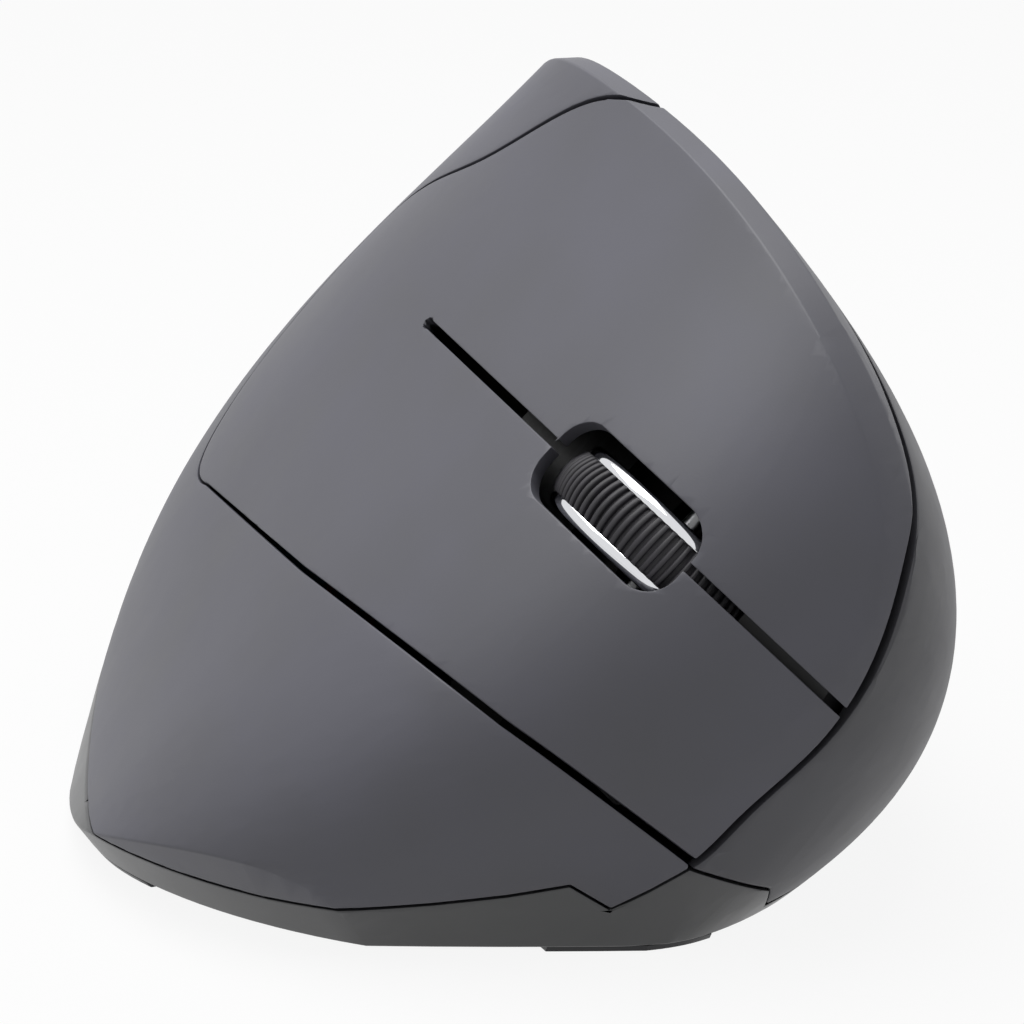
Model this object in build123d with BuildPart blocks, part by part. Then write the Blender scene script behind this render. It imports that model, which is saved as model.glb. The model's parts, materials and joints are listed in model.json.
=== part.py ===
from build123d import *
import math
import os

os.makedirs("parts", exist_ok=True)

# Body forms. Each form is a stack of flat rounded outlines, and the body is what they share.
# A size is given at the base plane, at the middle height and at the full height, and runs
# smoothly through the three. Squareness 2 is an ellipse, and more is nearer to a rectangle.
FULL_HEIGHT = 70.0
FINGER_FORM = {
    "centre_x": (-0.3, 24.2, 24.2),
    "centre_y": (-9.2, -4.7, -13.2),
    "to_nose": (33.0, 52.5, 28.5),
    "to_tail": (61.0, 53.0, 27.0),
    "to_left": (42.5, 40.5, 8.5),
    "to_right": (42.5, 40.5, 8.5),
    "turn": (-25.5, -8.5, 5.0),
    "squareness": (3.8, 2.85, 2.7),
}
THUMB_FORM = {
    "centre_x": (7.7, 2.5, -31.3),
    "centre_y": (2.8, -4.2, 11.8),
    "to_nose": (48.5, 53.8, 77.0),
    "to_tail": (62.0, 47.0, 38.5),
    "to_left": (90.0, 90.0, 90.0),
    "to_right": (33.0, 34.5, 46.5),
    "turn": (-10.0, -6.5, -0.5),
    "squareness": (1.6, 3.1, 2.45),
}
# The skirt is the outline of the base, which widens steadily as it rises
SKIRT_FLARE = 0.68
SKIRT_CENTRE = (0.56, -3.6)
SKIRT_TO_NOSE = 44.3
SKIRT_TO_TAIL = 58.0
SKIRT_TO_LEFT = 40.1
SKIRT_TO_RIGHT = 56.0
SKIRT_SQUARENESS = 1.68
OUTLINE_HEIGHTS = (-2.0, 5.0, 13.0, 22.0, 32.0, 42.0, 51.0, 59.0, 66.0, 71.0)
OUTLINE_POINTS = 36
RIDGE_BEVEL = 1.9
CREST_START = 52.0
CREST_RISE = 1.6
# An inner surface lies one inset inside the form, measured square to its slope: most of that is
# taken along each outline, and the rest by reading the outline a little higher up
INSET_ALONG = 0.95
INSET_DROP = 0.3
# The two crest edges are longer than this share of the height, and rise more than this
CREST_LENGTH = 1.2
CREST_EDGE_RISE = 5.0

# Casing
WALL = 2.0
FOOT_HEIGHT = 0.6
FLOOR = 2.2
FLOOR_TOP = FOOT_HEIGHT + FLOOR
SHELL_GAP = 0.25
KEY_GAP_REAR = 0.35
KEY_GAP_FRONT = 0.9
NOSE_GAP = 1.0
FLEX_GAP = 0.3
REACH = 120.0

# Finger face: a plane through the middle of the wheel slot. Along it, u runs forward,
# v runs up towards the ridge and w runs out of the face.
FACE = Plane(origin=(-4.4, -42.9, 43.1), x_dir=(0.23, -0.91, -0.34), z_dir=(-0.66, -0.40, 0.64))

# Slot and slit between the keys
SLOT_LENGTH = 19.5
SLOT_WIDTH = 8.9
SLOT_CORNER = 3.3
SLOT_CENTRE = (-1.25, -0.1)
SLIT_WIDTH = 0.95
SLIT_V = 0.3
FLEX_U = -40.0
SLIT_HOLE = 1.2

# Wheel
WHEEL_RADIUS = 12.3
WHEEL_DEPTH = 11.4
WHEEL_U = -0.4
WHEEL_ROOM = 0.5
WHEEL_V = -0.5
TREAD_WIDTH = 4.6
TREAD_INNER = 9.8
TREAD_CROWN = 0.6
RIB_COUNT = 78
RIB_DEPTH = 0.8
RIB_GAP = 0.45
RIM_WIDTH = 1.2
RIM_DROP = 0.75
RIM_INNER = 9.0
RIM_ROUND = 1.4
RIM_SHOULDER = (0.25, 0.45)
HUB_WEB = 1.6
HUB_BOSS = 3.2
AXLE_RADIUS = 1.1
AXLE_FIT = 0.05

# Boards
BOARD = 1.6
BOARD_DEPTH = 17.5
BOARD_REAR = -27.0
BOARD_FRONT = 11.0
BOARD_LOW = -20.0
BOARD_HIGH = 18.0
NOTCH_REAR = -14.0
NOTCH_HALF = 5.2
BASE_BOARD_Z = 7.0
BASE_BOARD_SIZE = (44.0, 26.0)
BASE_BOARD_CENTRE = (0.0, -3.0)
SCREW_EDGE = 3.0
CORNER = 1.5
EDGE = 0.3

# Microswitches under the keys
SWITCH_LENGTH = 12.8
SWITCH_WIDTH = 5.8
SWITCH_HEIGHT = 6.5
SWITCH_U = -2.0
SWITCH_V = {"left": 14.5, "right": -15.9}
PLUNGER_U = 0.0
PLUNGER_LENGTH = 2.2
PLUNGER_WIDTH = 1.3
PLUNGER_RISE = 0.8
PLUNGER_SINK = 2.0
PLUNGER_WELL = 3.0
PLUNGER_FIT = 0.1
STEM_GAP = 0.25
STEM = (3.0, 2.0)

# Small tact switches
TACT = 6.0
TACT_HEIGHT = 3.3
TACT_LOW = 2.4
TACT_PLUNGER_RADIUS = 1.6
TACT_RISE = 0.6

# Battery bay and cell
CELL_RADIUS = 7.25
CELL_LENGTH = 50.5
CELL_X = 5.25
CELL_Y = 22.0
DOOR_PLATE = 1.6
CELL_CLEARANCE = 2.0
CELL_Z = FOOT_HEIGHT + DOOR_PLATE + CELL_CLEARANCE + CELL_RADIUS
NUB_HEIGHT = 1.0
NUB_RADIUS = 2.75
SPRING_LENGTH = 4.5
SPRING_WIRE = 0.5
SPRING_TURNS = 4
SPRING_RADIUS = 3.2
CONTACT = 0.5
BAY_WALL = 1.4
BAY_HEIGHT = 8.2
BAY_WIDTH = 15.6
DOOR_GAP = 0.25

# Receiver in its pocket
PLUG_WIDTH = 12.0
PLUG_THICK = 4.5
PLUG_LENGTH = 12.0
PLUG_WALL = 0.3
PLUG_MOUTH = 2.0
PLUG_HOLLOW = 9.6
CAP_WIDTH = 14.6
CAP_THICK = 6.2
CAP_HEIGHT = 7.0
POCKET_CENTRE = (6.0, 39.0)
POCKET_GAP = 0.25
POCKET_WALL = 1.2

# Screws
SCREW_RADIUS = 1.0
SCREW_HEAD = 1.9
SCREW_HEAD_HEIGHT = 1.3
SCREW_SLOT = 0.48
SCREW_LENGTH = 8.0
BOARD_SCREW_LENGTH = 4.0
POST_RADIUS = 2.6
BOSS_RADIUS = 2.4
PALM_POSTS = [(-26.0, -8.0), (0.0, 47.0)]
THUMB_POST = (30.0, -8.0)
SCREW_FIT = 0.05
SCREW_RECESS = 0.3
FRAME_LEGS = [(-6.8, -21.5), (16.2, -21.5)]
LEG = 7.0

# Inner frame under the key board
FRAME_PLATE = 1.6
FRAME_POST_HEIGHT = 2.0
FRAME_FRONT = 12.0
FRAME_EDGE = 0.5
FRAME_SLOT = (18.5, 9.8)
KEY_ROOM = 1.2
DIVIDER_WIDTH = 3.2
DIVIDER_LENGTH = 11.0
DIVIDER_DEPTH = 24.0
TONGUE = (6.0, 6.4)
TONGUE_LAP = 1.0
FRAME_BORE = 6.0
BOARD_SCREWS = [(-23.5, -16.5), (-23.5, 14.5), (8.5, -16.5), (8.5, 14.5)]

# Wheel click: the free end of the axle rests in a cradle over its switch
ENCODER_V = -8.65
ENCODER_WIDTH = 4.5
ENCODER_LENGTH = 10.0
ENCODER_HEIGHT = 10.6
ROTOR_RADIUS = 3.0
ROTOR_WIDTH = 3.8
ROTOR_FIT = 0.15
CRADLE_V = 7.8
CRADLE_WIDTH = 2.8
CRADLE_LENGTH = 5.6
CRADLE_TOP = -8.9
BRACKET_WALL = 1.0
BRACKET_GAP = 0.25

# Thumb buttons: a plane on the thumb side, where a runs forward, b runs down and w runs out
THUMB = Plane(origin=(23.9, 1.0, 59.0), x_dir=(-0.03, -0.99, -0.05), z_dir=(0.78, -0.06, 0.62))
BUTTON_LENGTH = 12.5
BUTTON_WIDTH = 8.4
BUTTON_SPLIT = 0.6
BUTTON_B = 1.0
BUTTON_TRAVEL = 0.5
BUTTON_RISE = 2 * BUTTON_TRAVEL
BUTTON_THICKNESS = 2.0
BUTTON_GAP = 0.3
BUTTON_CORNER = 2.6
SIDE_BOARD_DEPTH = 6.2
SIDE_BOARD = 1.0
SIDE_BOARD_SIZE = (29.0, 14.0)
SIDE_BOARD_B = 3.0
SIDE_POSTS = [(-12.5, 8.5), (12.5, 8.5)]
SIDE_POST_RADIUS = 1.6
SIDE_STEM_RADIUS = 1.2

# Underside
LENS_PLACE = (0.0, -4.0)
LENS_WINDOW = 3.1
LENS_BARREL = 2.8
LENS_PLATE = (12.0, 10.0, 1.2)
CHIP = (11.0, 9.0, 2.2)
CONTROLLER_PLACE = (10.0, 3.0)
CONTROLLER = (6.0, 6.0, 1.0)
CRYSTAL_PLACE = (12.0, -11.0)
CRYSTAL = (3.2, 2.5, 0.8)
SLIDER_PLACE = (-16.0, -3.5)
SLIDER_KNOB = (3.0, 4.4)
SLIDER_FLANGE = (5.4, 9.4)
SLIDER_STEM = 1.4
SLIDER_TRAVEL = 3.0
SLIDE_SWITCH = (4.5, 9.0, 2.6)
FLANGE = 0.8
FLANGE_GAP = 0.2
RECESS = 0.4
PAIR_PLACE = (-8.0, -12.0)
PAIR_RADIUS = 1.9
PAIR_FLANGE = 3.0
FIT = 0.2
FRONT_FOOT_Y = -35.5
REAR_FOOT_X = 5.0
REAR_FOOT_Y = 44.0
SIDE_FOOT_X = 32.0
FRONT_FOOT_X = -3.0
FRONT_FOOT_WIDTH = 15.0
FOOT_CUT = 24.0
FOOT_INSET = 0.6

# Battery door
DOOR_LENGTH = 54.0
DOOR_WIDTH = 14.0
HOOK_WIDTH = 5.0
HOOK_REACH = 1.0
HOOK_RISE = 0.75
HOOK_ROOT = 3.0
THUMB_NOTCH = 1.5

# Wires between the boards
WIRE = 0.5
WIRE_BEND = 2.5
WIRE_STEP = 2.0
WIRE_LEAD = 5.0
KEY_WIRE_COUNT = 3
KEY_WIRE_V = -12.0
KEY_WIRE_END = (-12.0, 5.0)
KEY_WIRE_FALL = 8.0
SIDE_WIRE_COUNT = 2
SIDE_WIRE_A = -13.5
SIDE_WIRE_END = (15.0, 3.0)
SIDE_WIRE_TURN = 22.0
CELL_WIRE_END = (17.0, 3.0)


def level(values, height):
    """Run a size smoothly through its three given values."""
    low, middle, high = values
    s = height / FULL_HEIGHT
    return low * (1 - s) * (1 - 2 * s) + 4 * middle * s * (1 - s) + high * s * (2 * s - 1)


def outline(form, height, inset, drop):
    """Points round one flat outline of a form, drawn in by the inset."""
    size = {name: level(values, height + drop) for name, values in form.items()}
    turn = math.radians(size["turn"])
    points = []
    for i in range(OUTLINE_POINTS):
        angle = 2 * math.pi * (i + 0.5) / OUTLINE_POINTS
        power = 2 / size["squareness"]
        across = math.copysign(abs(math.cos(angle)) ** power, math.cos(angle))
        along = math.copysign(abs(math.sin(angle)) ** power, math.sin(angle))
        across *= (size["to_right"] if across > 0 else size["to_left"]) - inset
        along *= (size["to_tail"] if along > 0 else size["to_nose"]) - inset
        x = size["centre_x"] + across * math.cos(turn) - along * math.sin(turn)
        y = size["centre_y"] + across * math.sin(turn) + along * math.cos(turn)
        points.append((x, y))
    return points


def form_solid(form, inset=0.0):
    """Stack the outlines of a form into a closed solid, drawn in by the inset."""
    with BuildPart() as stack:
        for height in OUTLINE_HEIGHTS:
            crest = max(0.0, (height - CREST_START) / (FULL_HEIGHT - CREST_START))
            with BuildSketch(Plane.XY.offset(height + CREST_RISE * crest**2)):
                with BuildLine():
                    drawn_in = outline(form, height, INSET_ALONG * inset, INSET_DROP * inset)
                    Spline(*drawn_in, periodic=True)
                make_face()
        loft()
    return stack.part


def flared(size):
    return (size, size + SKIRT_FLARE * FULL_HEIGHT / 2, size + SKIRT_FLARE * FULL_HEIGHT)


SKIRT_FORM = {
    "centre_x": (SKIRT_CENTRE[0],) * 3,
    "centre_y": (SKIRT_CENTRE[1],) * 3,
    "to_nose": flared(SKIRT_TO_NOSE),
    "to_tail": flared(SKIRT_TO_TAIL),
    "to_left": flared(SKIRT_TO_LEFT),
    "to_right": flared(SKIRT_TO_RIGHT),
    "turn": (0.0, 0.0, 0.0),
    "squareness": (SKIRT_SQUARENESS,) * 3,
}


def body_solid(inset=0.0, floor=FOOT_HEIGHT, bevel=0.0):
    """The body that the forms share, above the floor height."""
    with BuildPart() as body:
        add(form_solid(FINGER_FORM, inset))
        add(form_solid(THUMB_FORM, inset), mode=Mode.INTERSECT)
        if bevel:
            long_edges = [e for e in body.edges() if e.length > CREST_LENGTH * FULL_HEIGHT]
            crest = [e for e in long_edges if e.bounding_box().size.Z > CREST_EDGE_RISE]
            chamfer(crest, bevel)
        add(form_solid(SKIRT_FORM, inset), mode=Mode.INTERSECT)
        split(bisect_by=Plane.XY.offset(floor), keep=Keep.TOP)
    return body.part


outer_body = body_solid(bevel=RIDGE_BEVEL)
within_walls = body_solid(inset=WALL)
inner_body = split(within_walls, Plane.XY.offset(FLOOR_TOP), keep=Keep.TOP)
floor_plate = split(body_solid(inset=WALL + SHELL_GAP), Plane.XY.offset(FLOOR_TOP), keep=Keep.BOTTOM)
with BuildPart() as casing:
    add(outer_body)
    add(inner_body, mode=Mode.SUBTRACT)


# Seams, seen from the front and from the side. The seam of the bottom shell runs level, with
# two teeth at the front where the palm shell and the keys reach down, and drops on the thumb side
SEAM_BOTTOM = -5.0
SEAM_LEVEL = 4.6
SEAM_LOW = 1.8
SEAM_RISE = [(-33.0, 4.7), (-27.0, 5.2), (-21.0, 5.9), (-15.0, 6.8)]
TOOTH = [(-9.9, 7.9), (-6.0, 5.0), (0.2, 9.3), (9.7, 4.5), (10.6, SEAM_LOW)]
SEAM_FRONT = [(-REACH / 2, SEAM_LEVEL), *SEAM_RISE, *TOOTH, (REACH / 2, SEAM_LOW)]
SEAM_REAR = [(-REACH / 2, SEAM_LEVEL), (26.0, SEAM_LEVEL), (34.0, SEAM_LOW), (REACH / 2, SEAM_LOW)]
NOSE_SEAM = [(0.2, 9.3), (4.7, 14.8), (10.8, 21.6), (15.5, 29.7), (18.8, 39.2), (20.7, 48.0)]
NOSE_SEAM_START = (-12.0, 2.0)
NOSE_SEAM_ENDS = [(0.8, 0.6), (0.0, 1.0)]
THUMB_REAR_SEAM = [(8.0, 75.0), (21.0, 56.0), (33.0, 36.0), (42.0, 16.0), (46.0, -2.0)]
# The outline of the two keys and their cover on the finger face, from the ridge round its rear
# corner and down its long lower edge, then out over the nose
PANEL_RIDGE = [(-30.5, 36.0), (-34.9, 30.2), (-40.6, 27.6), (-52.8, 15.3)]
PANEL_REAR = [(-64.0, 7.0), (-66.9, -6.0), (-66.6, -17.7)]
PANEL_TOP = PANEL_RIDGE + PANEL_REAR
PANEL_CORNER = [(-64.0, -25.0), (-57.1, -26.6)]
PANEL_LOW = [(-27.5, -24.7), (4.9, -21.4), (17.7, -19.3), (40.0, -17.0)]
PANEL_OPEN = [(40.0, 60.0), (-30.5, 60.0)]
PANEL_DEPTH = 48.0
PANEL_RISE = 12.0


def seam_zone(rise):
    """Everything below the seam of the bottom shell, raised by the given amount."""
    with BuildPart() as zone:
        for points, side in ((SEAM_FRONT, 1), (SEAM_REAR, -1)):
            raised = [(x, z + rise) for x, z in points]
            with BuildSketch(Plane.XZ):
                with BuildLine():
                    under = [(raised[-1][0], SEAM_BOTTOM), (raised[0][0], SEAM_BOTTOM)]
                    Polyline(*raised, *under, close=True)
                make_face()
            extrude(amount=side * REACH)
    return zone.part


def thumb_zone(shift):
    """The thumb side: right of the nose seam and ahead of the rear seam, widened by the shift."""
    seam = [(x - shift, z) for x, z in NOSE_SEAM]
    start = (NOSE_SEAM_START[0] - shift, NOSE_SEAM_START[1])
    with BuildPart() as zone:
        with BuildSketch(Plane.XZ):
            with BuildLine():
                Line(start, seam[0])
                Spline(*seam, tangents=NOSE_SEAM_ENDS)
                Polyline(seam[-1], (seam[-1][0], REACH), (REACH, REACH), (REACH, start[1]), start)
            make_face()
        extrude(amount=REACH, both=True)
        ahead = [(y + shift, z) for y, z in THUMB_REAR_SEAM]
        with BuildSketch(Plane.YZ):
            with BuildLine():
                Spline(*ahead)
                Polyline(ahead[-1], (-REACH, ahead[-1][1]), (-REACH, ahead[0][1]), ahead[0])
            make_face()
        extrude(amount=REACH, mode=Mode.INTERSECT)
    return zone.part


def panel_zone(gap_share):
    """The button cover: inside its outline on the finger face, drawn in by its gap."""

    def drawn(points, out_u, out_v):
        moved = []
        for u, v in points:
            share = (u - PANEL_TOP[-1][0]) / (PANEL_LOW[-1][0] - PANEL_TOP[-1][0])
            gap = gap_share * (KEY_GAP_REAR + (KEY_GAP_FRONT - KEY_GAP_REAR) * share)
            moved.append((u - out_u * gap, v - out_v * gap))
        return moved

    diagonal = math.sqrt(0.5)
    top = drawn(PANEL_TOP, -diagonal, diagonal)
    corner = drawn(PANEL_CORNER, -diagonal, -diagonal)
    low = drawn(PANEL_LOW, 0.0, -1.0)
    with BuildPart() as zone:
        with BuildSketch(FACE.offset(-PANEL_DEPTH)):
            with BuildLine():
                Spline(*top, *corner)
                Polyline(corner[-1], *low)
                Polyline(low[-1], *PANEL_OPEN, top[0])
            make_face()
        extrude(amount=PANEL_DEPTH + PANEL_RISE)
    return zone.part


def column(place, radius, bottom):
    """A round post from the floor up to the outer surface above it."""
    with BuildPart() as post:
        with BuildSketch(Plane.XY.offset(bottom)):
            with Locations(place):
                Circle(radius)
        extrude(amount=REACH)
        add(outer_body, mode=Mode.INTERSECT)
    return post.part


def face_block(length, width, low, high, centre=(0.0, 0.0), corner=0.0):
    """A block square to the finger face, between two depths."""
    with BuildPart() as block:
        with BuildSketch(FACE.offset(low)):
            with Locations(centre):
                if corner:
                    RectangleRounded(length, width, corner)
                else:
                    Rectangle(length, width)
        extrude(amount=high - low)
    return block.part


with BuildPart() as upper:
    add(casing.part)
    add(seam_zone(SHELL_GAP), mode=Mode.SUBTRACT)
    add(within_walls, mode=Mode.SUBTRACT)

with BuildPart() as thumb_side:
    add(upper.part)
    add(thumb_zone(0.0), mode=Mode.INTERSECT)

with BuildPart() as finger_side:
    add(upper.part)
    add(thumb_zone(NOSE_GAP), mode=Mode.SUBTRACT)

with BuildPart() as panel:
    add(finger_side.part)
    add(panel_zone(1.0), mode=Mode.INTERSECT)
    add(seam_zone(NOSE_GAP), mode=Mode.SUBTRACT)

with BuildPart() as palm_side:
    add(finger_side.part)
    add(panel_zone(0.0), mode=Mode.SUBTRACT)

with BuildPart() as base_side:
    add(casing.part)
    add(seam_zone(0.0), mode=Mode.INTERSECT)
    add(floor_plate)

frame_top = -(BOARD_DEPTH + BOARD + FRAME_POST_HEIGHT)
frame_bottom = frame_top - FRAME_PLATE
switch_top = SWITCH_HEIGHT - BOARD_DEPTH
plunger_top = switch_top + PLUNGER_RISE
key_tact_top = TACT_HEIGHT - BOARD_DEPTH
cradle_bottom = key_tact_top + TACT_RISE + STEM_GAP
side_tact_top = TACT_LOW - SIDE_BOARD_DEPTH
side_stem_bottom = side_tact_top + TACT_RISE + STEM_GAP
base_board_top = BASE_BOARD_Z + BOARD
screw_span = [size / 2 - SCREW_EDGE for size in BASE_BOARD_SIZE]
base_screws = [(BASE_BOARD_CENTRE[0] + i * screw_span[0], BASE_BOARD_CENTRE[1] + j * screw_span[1])
               for i in (-1, 1) for j in (-1, 1)]
legs_and_posts = PALM_POSTS + [THUMB_POST] + FRAME_LEGS
clear_body = body_solid(inset=WALL + KEY_ROOM, floor=FLOOR_TOP)
wheel_middle = FACE.from_local_coords((WHEEL_U, WHEEL_V, -WHEEL_DEPTH))
WHEEL = Plane(origin=wheel_middle, x_dir=FACE.x_dir, z_dir=FACE.y_dir)


def save(piece, name):
    piece.part.label = name
    export_step(piece.part, "parts/" + name + ".step")
    solids = piece.part.solids()
    print(name, [round(s.volume, 1) for s in solids], piece.part.is_valid)


def screw(plane, length):
    """A screw with its head above the plane and its shank below it."""
    with BuildPart() as made:
        with BuildSketch(plane):
            Circle(SCREW_HEAD)
        extrude(amount=SCREW_HEAD_HEIGHT)
        with BuildSketch(plane):
            Circle(SCREW_RADIUS)
        extrude(amount=-length)
        with BuildSketch(plane.offset(SCREW_HEAD_HEIGHT)):
            for angle in (0, 90):
                Rectangle(SCREW_HEAD, SCREW_SLOT, rotation=angle)
        extrude(amount=-SCREW_HEAD_HEIGHT / 2, mode=Mode.SUBTRACT)
    return made.part


def bores(places, radius, plane, depth):
    """Round holes to cut, from the plane along its direction."""
    with BuildPart() as made:
        with BuildSketch(plane):
            with Locations(*places):
                Circle(radius)
        extrude(amount=depth)
    return made.part


screw_bore = SCREW_RADIUS + SCREW_FIT
post_bores = bores(legs_and_posts, screw_bore, Plane.XY.offset(FLOOR_TOP), SCREW_LENGTH)

# Button cover and the two keys that flex from it
slot_cut = face_block(SLOT_LENGTH, SLOT_WIDTH, -PANEL_DEPTH / 2, PANEL_RISE, SLOT_CENTRE, SLOT_CORNER)
slit_cut = face_block(REACH, SLIT_WIDTH, -PANEL_DEPTH, PANEL_RISE, (FLEX_U + REACH / 2, SLIT_V))
slit_hole = bores([(FLEX_U + SLIT_HOLE / 2, SLIT_V)], SLIT_HOLE / 2, FACE.offset(-PANEL_DEPTH), REACH)
key_zone_u = FLEX_U + FLEX_GAP / 2
flex_zone = face_block(REACH, REACH, -REACH, REACH, (key_zone_u - FLEX_GAP + REACH / 2, 0.0))

half_tread = TREAD_WIDTH / 2
rim_side = half_tread + RIM_WIDTH
with BuildPart() as wheel_room:
    with BuildSketch(WHEEL.offset(-rim_side - WHEEL_ROOM)):
        Circle(WHEEL_RADIUS + WHEEL_ROOM)
    extrude(amount=2 * (rim_side + WHEEL_ROOM))
    chamfer(wheel_room.edges().filter_by(GeomType.CIRCLE), RIM_ROUND)

with BuildPart() as behind_flex:
    add(panel.part)
    add(flex_zone, mode=Mode.SUBTRACT)
with BuildPart() as button_cover:
    add(behind_flex.solids().sort_by(SortBy.VOLUME)[-1])
save(button_cover, "button_cover")


def key(side, direction):
    """One flexing key, with the stem that presses its switch."""
    half = face_block(REACH, REACH, -REACH, REACH, (key_zone_u + REACH / 2, SLIT_V + direction * REACH / 2))
    stem = face_block(*STEM, plunger_top + STEM_GAP, 0.0, (PLUNGER_U, SWITCH_V[side]))
    with BuildPart() as stem_inside:
        add(stem)
        add(outer_body, mode=Mode.INTERSECT)
    with BuildPart() as made:
        add(panel.part)
        add(half, mode=Mode.INTERSECT)
        add(slot_cut, mode=Mode.SUBTRACT)
        add(wheel_room.part, mode=Mode.SUBTRACT)
        add(slit_cut, mode=Mode.SUBTRACT)
        add(slit_hole, mode=Mode.SUBTRACT)
        add(stem_inside.part)
    return made


save(key("left", 1), "left_button")
save(key("right", -1), "right_button")

# Palm shell with its two screw posts
with BuildPart() as palm_shell:
    add(palm_side.part)
    for place in PALM_POSTS:
        add(column(place, POST_RADIUS, FLOOR_TOP))
    add(post_bores, mode=Mode.SUBTRACT)
save(palm_shell, "palm_shell")


def button_prism(grow, centre, length):
    with BuildPart() as made:
        with BuildSketch(THUMB.offset(-SIDE_BOARD_DEPTH)):
            with Locations((centre, BUTTON_B)):
                RectangleRounded(length + 2 * grow, BUTTON_WIDTH + 2 * grow, BUTTON_CORNER + grow)
        extrude(amount=2 * SIDE_BOARD_DEPTH)
    return made.part


# Thumb shell with its post, the posts of the side board and the opening for the two buttons
button_centre = (BUTTON_LENGTH + BUTTON_SPLIT) / 2
both_buttons = 2 * BUTTON_LENGTH + BUTTON_SPLIT
with BuildPart() as side_posts:
    with BuildSketch(THUMB.offset(-SIDE_BOARD_DEPTH)):
        with Locations(*SIDE_POSTS):
            Circle(SIDE_POST_RADIUS)
    extrude(amount=2 * SIDE_BOARD_DEPTH)
    add(outer_body, mode=Mode.INTERSECT)
with BuildPart() as thumb_shell:
    add(thumb_side.part)
    add(column(THUMB_POST, POST_RADIUS, FLOOR_TOP))
    add(side_posts.part)
    add(button_prism(BUTTON_GAP, 0.0, both_buttons), mode=Mode.SUBTRACT)
    add(post_bores, mode=Mode.SUBTRACT)
save(thumb_shell, "thumb_shell")

# Thumb buttons
thumb_raised = form_solid(THUMB_FORM, -BUTTON_RISE)
thumb_lowered = form_solid(THUMB_FORM, BUTTON_THICKNESS - BUTTON_RISE)
for name, side in (("forward", 1), ("back", -1)):
    with BuildPart() as cap:
        add(button_prism(0.0, side * button_centre, BUTTON_LENGTH))
        add(thumb_raised, mode=Mode.INTERSECT)
        with BuildSketch(THUMB.offset(side_stem_bottom)):
            Rectangle(REACH, REACH)
        extrude(amount=REACH, mode=Mode.INTERSECT)
        add(thumb_lowered, mode=Mode.SUBTRACT)
        with BuildSketch(THUMB.offset(side_stem_bottom)):
            with Locations((side * button_centre, BUTTON_B)):
                Circle(SIDE_STEM_RADIUS)
        extrude(amount=-side_stem_bottom)
    save(cap, name + "_button")

# Side board behind the thumb buttons
with BuildPart() as side_board:
    with BuildSketch(THUMB.offset(-SIDE_BOARD_DEPTH)):
        with Locations((0.0, SIDE_BOARD_B)):
            RectangleRounded(*SIDE_BOARD_SIZE, CORNER)
    extrude(amount=-SIDE_BOARD)
save(side_board, "side_board")


def tact(plane, height, name):
    """A small square switch standing on a board, and its round plunger."""
    with BuildPart() as housing:
        with BuildSketch(plane):
            Rectangle(TACT, TACT)
        extrude(amount=height)
        top = housing.faces().sort_by(Axis(plane.origin, plane.z_dir))[-1]
        chamfer(top.edges(), EDGE)
        with BuildSketch(plane.offset(height)):
            Circle(TACT_PLUNGER_RADIUS + PLUNGER_FIT)
        extrude(amount=-height / 2, mode=Mode.SUBTRACT)
    save(housing, name + "_switch")
    with BuildPart() as plunger:
        with BuildSketch(plane.offset(height + TACT_RISE)):
            Circle(TACT_PLUNGER_RADIUS)
        extrude(amount=-height / 4 - TACT_RISE)
    save(plunger, name + "_plunger")


def shifted(plane, u, v, w=0.0):
    """The same plane, moved along itself."""
    return Plane(origin=plane.from_local_coords((u, v, w)), x_dir=plane.x_dir, z_dir=plane.z_dir)


tact(shifted(THUMB, button_centre, BUTTON_B, -SIDE_BOARD_DEPTH), TACT_LOW, "forward")
tact(shifted(THUMB, -button_centre, BUTTON_B, -SIDE_BOARD_DEPTH), TACT_LOW, "back")
tact(shifted(FACE, WHEEL_U, CRADLE_V, -BOARD_DEPTH), TACT_HEIGHT, "wheel")

# Key board, with a notch for the wheel
board_length = BOARD_FRONT - BOARD_REAR
board_width = BOARD_HIGH - BOARD_LOW
board_centre = ((BOARD_FRONT + BOARD_REAR) / 2, (BOARD_HIGH + BOARD_LOW) / 2)
notch_centre = (NOTCH_REAR + REACH / 2, WHEEL_V)
with BuildPart() as button_board:
    add(face_block(board_length, board_width, -BOARD_DEPTH - BOARD, -BOARD_DEPTH, board_centre, CORNER))
    add(face_block(REACH, 2 * NOTCH_HALF, -REACH, 0.0, notch_centre), mode=Mode.SUBTRACT)
    add(bores(BOARD_SCREWS, screw_bore, FACE.offset(-BOARD_DEPTH), -BOARD), mode=Mode.SUBTRACT)
save(button_board, "button_board")

for side in ("left", "right"):
    with BuildPart() as housing:
        add(face_block(SWITCH_LENGTH, SWITCH_WIDTH, -BOARD_DEPTH, switch_top, (SWITCH_U, SWITCH_V[side])))
        top = housing.faces().sort_by(Axis(FACE.origin, FACE.z_dir))[-1]
        chamfer(top.edges(), EDGE)
        hole = (PLUNGER_LENGTH + 2 * PLUNGER_FIT, PLUNGER_WIDTH + 2 * PLUNGER_FIT)
        well = face_block(*hole, switch_top - PLUNGER_WELL, 0.0, (PLUNGER_U, SWITCH_V[side]))
        add(well, mode=Mode.SUBTRACT)
    save(housing, side + "_switch")
    with BuildPart() as plunger:
        low = switch_top - PLUNGER_SINK
        add(face_block(PLUNGER_LENGTH, PLUNGER_WIDTH, low, plunger_top, (PLUNGER_U, SWITCH_V[side])))
    save(plunger, side + "_plunger")

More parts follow.
